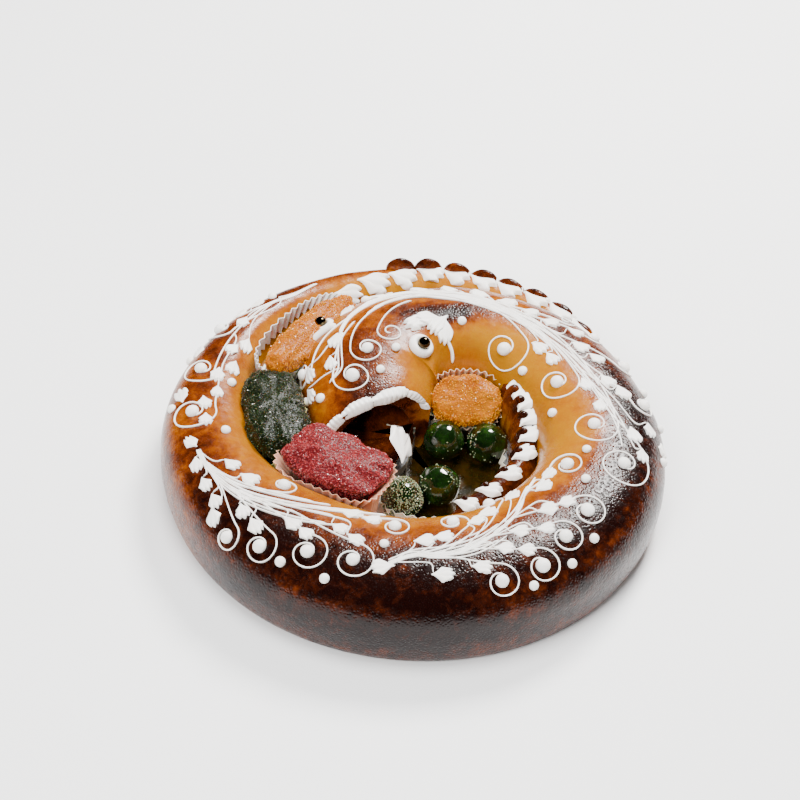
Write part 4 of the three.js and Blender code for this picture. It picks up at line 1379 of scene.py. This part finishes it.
def fruit_mesh(row):
    """An uneven candied fruit that fills its case and stands proud of it."""
    facts = row["fruit"]
    rise, inset, shift = facts["rise"], facts["inset"], facts.get("shift", [0, 0])
    lumps, seed = facts["lumps"], facts["seed"]
    own = dict(row, size=[row["size"][0] - inset[0], row["size"][1] - inset[1]])
    inner = FLUTE_DEPTH / 2 + PAPER + GAP
    count = 96
    foot = row.get("foot", CASE_FOOT)
    keys = [(PAPER + GAP, foot * 0.9, inner)]
    if "waist" in row:
        keys.append((row["waist"][1], 0.98 * row["waist"][0], inner))
    else:
        keys.append((row["height"], 0.96, inner))
    for up, width in ((0, 0.97), (0.45, 1.0), (0.85, 0.84), (1.0, 0.5)):
        keys.append((row["height"] + GAP + up * rise, width, 0.0))
    keys = np.array(keys, float)
    levels = np.concatenate([
        np.linspace(keys[0, 0], keys[1, 0], 8, endpoint=False),
        np.linspace(keys[1, 0], keys[-1, 0], 22)])
    rings = []
    for z in levels:
        scale, in_by = (float(np.interp(z, keys[:, 0], keys[:, k])) for k in (1, 2))
        rings.append(oval(own, count, scale, in_by, z))
    for shrink in (0.72, 0.42, 0.16):
        rings.append(oval(own, count, 0.5 * shrink, 0, keys[-1, 0] + rise * 0.03 * (1 - shrink)))
    rings = np.array(rings)
    share = np.clip((rings[..., 2] - row["height"] - GAP) / rise, 0, 1)
    index = np.linspace(0, 12, count, endpoint=False)
    spread_out = np.hypot(rings[..., 0] / own["size"][0], rings[..., 1] / own["size"][1])
    wave = np.sin(2.3 * index[None] + seed + 4 * share) * np.sin(1.7 * index[None] + 2 * seed)
    wave = wave * np.clip(1.6 * spread_out - 0.35, 0, 1)
    swell = 1 + lumps * wave * (share > 0)
    rings[..., 0] *= swell
    rings[..., 1] *= swell
    rings[..., 2] += share * 2 * lumps * rise * wave
    above_foot = rings[..., 2] > keys[0, 0] + 1
    rings[..., 0] += shift[0] * above_foot
    rings[..., 1] += shift[1] * above_foot
    points, faces = loft(rings)
    points = placed(points, row)
    normals = normals_of(points, faces)
    centre = points.mean(0)
    if np.mean(np.sum(normals * (points - centre), axis=1)) < 0:
        normals = -normals
    above = np.clip(np.concatenate([share.ravel(), [0, 1]]) * 4 + 0.3, 0, 1)
    coarse = facts.get("coarse", 1.3)
    bumps = (coarse * wobble(points, 13, seed) + 0.9 * wobble(points, 4.5, seed + 3)
             + 0.3 * wobble(points, 2, seed))
    points = points + normals * (bumps * above)[:, None]
    return points, faces, normals, above


GRAIN = 0.75  # size of a sugar grain


def crystals(points, faces, normals, weight, cover, seed, name, material):
    """Sugar grains scattered over a surface, sunk a little into it."""
    pick = np.random.default_rng(seed)
    triangles = []
    for face in faces:
        triangles.append((face[0], face[1], face[2]))
        if len(face) == 4:
            triangles.append((face[0], face[2], face[3]))
    triangles = np.array(triangles)
    corners = points[triangles]
    normal = np.cross(corners[:, 1] - corners[:, 0], corners[:, 2] - corners[:, 0])
    area = np.linalg.norm(normal, axis=1) / 2
    area = area * weight[triangles].mean(1)
    count = int(area.sum() * cover / GRAIN ** 2)
    chosen = pick.choice(len(triangles), count, p=area / area.sum())
    u, v = pick.random(count), pick.random(count)
    flip = u + v > 1
    u[flip], v[flip] = 1 - u[flip], 1 - v[flip]
    tri = corners[chosen]
    at = tri[:, 0] + u[:, None] * (tri[:, 1] - tri[:, 0]) + v[:, None] * (tri[:, 2] - tri[:, 0])
    up = unit(normals[triangles[chosen]].mean(1))
    base = np.array([[1, 1, 1], [1, 1, -1], [1, -1, 1], [1, -1, -1],
                     [-1, 1, 1], [-1, 1, -1], [-1, -1, 1], [-1, -1, -1]], float) / math.sqrt(3)
    quads = [(0, 2, 3, 1), (4, 5, 7, 6), (0, 1, 5, 4), (2, 6, 7, 3), (0, 4, 6, 2), (1, 3, 7, 5)]
    all_points = np.empty((count * 8, 3))
    all_faces = []
    for i in range(count):
        spin = random_rotation(pick)
        half = GRAIN * pick.uniform(0.35, 0.75)
        shape = base * pick.uniform(0.6, 1.25, 3) * half
        all_points[8 * i:8 * i + 8] = shape @ spin + at[i] + up[i] * half * 0.25
        all_faces.extend(tuple(8 * i + k for k in quad) for quad in quads)
    return single(name, material, all_points, all_faces, smooth=False)


def random_rotation(pick):
    w, x, y, z = unit(pick.normal(size=4))
    return np.array([
        [1 - 2 * (y * y + z * z), 2 * (x * y - z * w), 2 * (x * z + y * w)],
        [2 * (x * y + z * w), 1 - 2 * (x * x + z * z), 2 * (y * z - x * w)],
        [2 * (x * z - y * w), 2 * (y * z + x * w), 1 - 2 * (x * x + y * y)],
    ])


# deep and light colour of the flesh, colour of the grains, and how much of it they cover
FRUIT_LOOKS = {
    "red": ((0.05, 0.002, 0.003), (0.13, 0.009, 0.011), (0.19, 0.024, 0.026), 0.8),
    "green": ((0.001, 0.0018, 0.0006), (0.005, 0.0105, 0.0022), (0.017, 0.023, 0.008), 0.45),
    "orange_centre": ((0.24, 0.05, 0.0005), (0.40, 0.13, 0.001), (0.40, 0.14, 0.002), 0.55),
    "orange_back": ((0.22, 0.045, 0.0005), (0.36, 0.11, 0.001), (0.36, 0.12, 0.002), 0.55),
}

paper_pieces = {}
fruit_pieces = {}
grain_pieces = {}
for row in CASES:
    name = row["name"]
    paper_pieces[name] = make_case(row)
    if "fruit" not in row:
        continue
    deep, light, grain, cover = FRUIT_LOOKS[name]
    points, faces, normals, above = fruit_mesh(row)
    flesh = fruit_material(f"candied_{name}", deep, light)
    fruit_pieces[name] = single(f"candied_{name}", flesh, points, faces)
    sugar = f"sugar_{name}"
    grain_pieces[name] = crystals(points, faces, normals, above, cover, row["fruit"]["seed"],
                                  sugar, sugar_material(sugar, grain))

cherry_pieces = []
cherry_sugar = []
SUGARED = [0.03, 0.12, 0.1, 0.6]  # how much of each cherry the grains cover
clear_sugar = sugar_material("sugar_clear", (0.16, 0.18, 0.10))
for i, (x, y) in enumerate(CHERRIES):
    centre = np.array([x, y, PAPER + 1.2 * GAP + CHERRY_RADIUS])
    points, faces = lump(centre, [CHERRY_RADIUS * 0.985] * 3, 37 * i, 48, 30)
    direction = unit(points - centre)
    bumps = 0.45 * wobble(points, 8, 30 + i) + 0.12 * wobble(points, 3, 40 + i)
    points = points + direction * bumps[:, None]
    cherry_pieces.append(single(f"candied_cherry_{i + 1}", CHERRY, points, faces))
    weight = np.clip((points[:, 2] - 7) / 8, 0, 1)
    if i < 3:
        weight = weight * (wobble(points, 6, 60 + i) > 0.05)
    cherry_sugar.append(crystals(points, faces, direction, weight, SUGARED[i], 50 + i,
                                 f"sugar_cherry_{i + 1}", clear_sugar))

# ------------------------------------------------------------------ pieces to bodies and nodes

for piece in body_parts + [icing_piece]:
    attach(piece, "root")
    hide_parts("eel")
for number, piece in enumerate(eye_beads):
    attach(piece, "root")
    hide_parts(f"eye_{number + 1}")
for name, piece in paper_pieces.items():
    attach(piece, "root")
    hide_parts(f"case_{name}")
for name in fruit_pieces:
    for piece in (fruit_pieces[name], grain_pieces[name]):
        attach(piece, "root")
        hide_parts(f"fruit_{name}")
for number in range(len(CHERRIES)):
    for piece in (cherry_pieces[number], cherry_sugar[number]):
        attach(piece, "root")
        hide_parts(f"cherry_{number + 1}")

# ------------------------------------------------------------------ floor, light and camera


def make_floor():
    n = Nodes("pale_floor")
    n.set(Base_Color=n.ramp(n.noise(3, 2), [(0.4, (0.9, 0.9, 0.9)), (0.6, (0.92, 0.92, 0.92))]),
          Roughness=0.7)
    mesh = bpy.data.meshes.new("floor")
    size = 6.0
    corners = [(-size, -size, 0), (size, -size, 0), (size, size, 0), (-size, size, 0)]
    mesh.from_pydata(corners, [], [(0, 1, 2, 3)])
    mesh.materials.append(n.material)
    floor = bpy.data.objects.new("floor", mesh)
    link(floor)


def area_light(name, at, look, size, power, colour=(1, 1, 1), mirrored=True):
    """A round soft light. One that isn't mirrored lights surfaces but leaves no highlight."""
    data = bpy.data.lights.new(name, "AREA")
    data.shape = "DISK"
    data.size = size
    data.energy = power
    data.color = colour
    light = bpy.data.objects.new(name, data)
    light.location = at
    light.rotation_euler = (Vector(look) - Vector(at)).to_track_quat("-Z", "Y").to_euler()
    light.visible_glossy = mirrored
    link(light)


def make_light():
    area_light("key", (0.4, 0.9, 1.1), (0, 0, 0.03), 0.45, 50, (1.0, 0.98, 0.95))
    area_light("fill", (-0.6, -1.0, 1.3), (0, 0, 0.03), 0.8, 34, mirrored=False)
    area_light("top", (0.0, 0.0, 1.7), (0, 0, 0), 0.8, 40, mirrored=False)
    world = bpy.data.worlds.new("studio")
    world.use_nodes = True
    background = world.node_tree.nodes["Background"]
    background.inputs["Color"].default_value = (1, 1, 1, 1)
    background.inputs["Strength"].default_value = 0.45
    world.cycles_visibility.glossy = False
    bpy.context.scene.world = world


CAMERA_AT = (-7.49, -815.23, 794.70)
ELEVATION = 43.06
ROLL = 3.84
LENS = 97.35
DROP = 33 / 800  # how far the picture is shifted, as a share of its width


def make_camera():
    data = bpy.data.cameras.new("camera")
    data.sensor_width = 36
    data.lens = LENS
    data.shift_y = DROP
    data.clip_start = 0.05
    data.clip_end = 50
    camera = bpy.data.objects.new("camera", data)
    down = math.radians(ELEVATION)
    roll = math.radians(ROLL)
    back = Vector((0, -math.cos(down), math.sin(down)))
    up = Vector((0, math.sin(down), math.cos(down)))
    right = Vector((1, 0, 0))
    turned_right = right * math.cos(roll) + up * math.sin(roll)
    turned_up = up * math.cos(roll) - right * math.sin(roll)
    matrix = Matrix((turned_right, turned_up, back)).transposed().to_4x4()
    matrix.translation = Vector(place(CAMERA_AT))
    camera.matrix_world = matrix
    link(camera)
    bpy.context.scene.camera = camera


make_floor()
make_light()
make_camera()
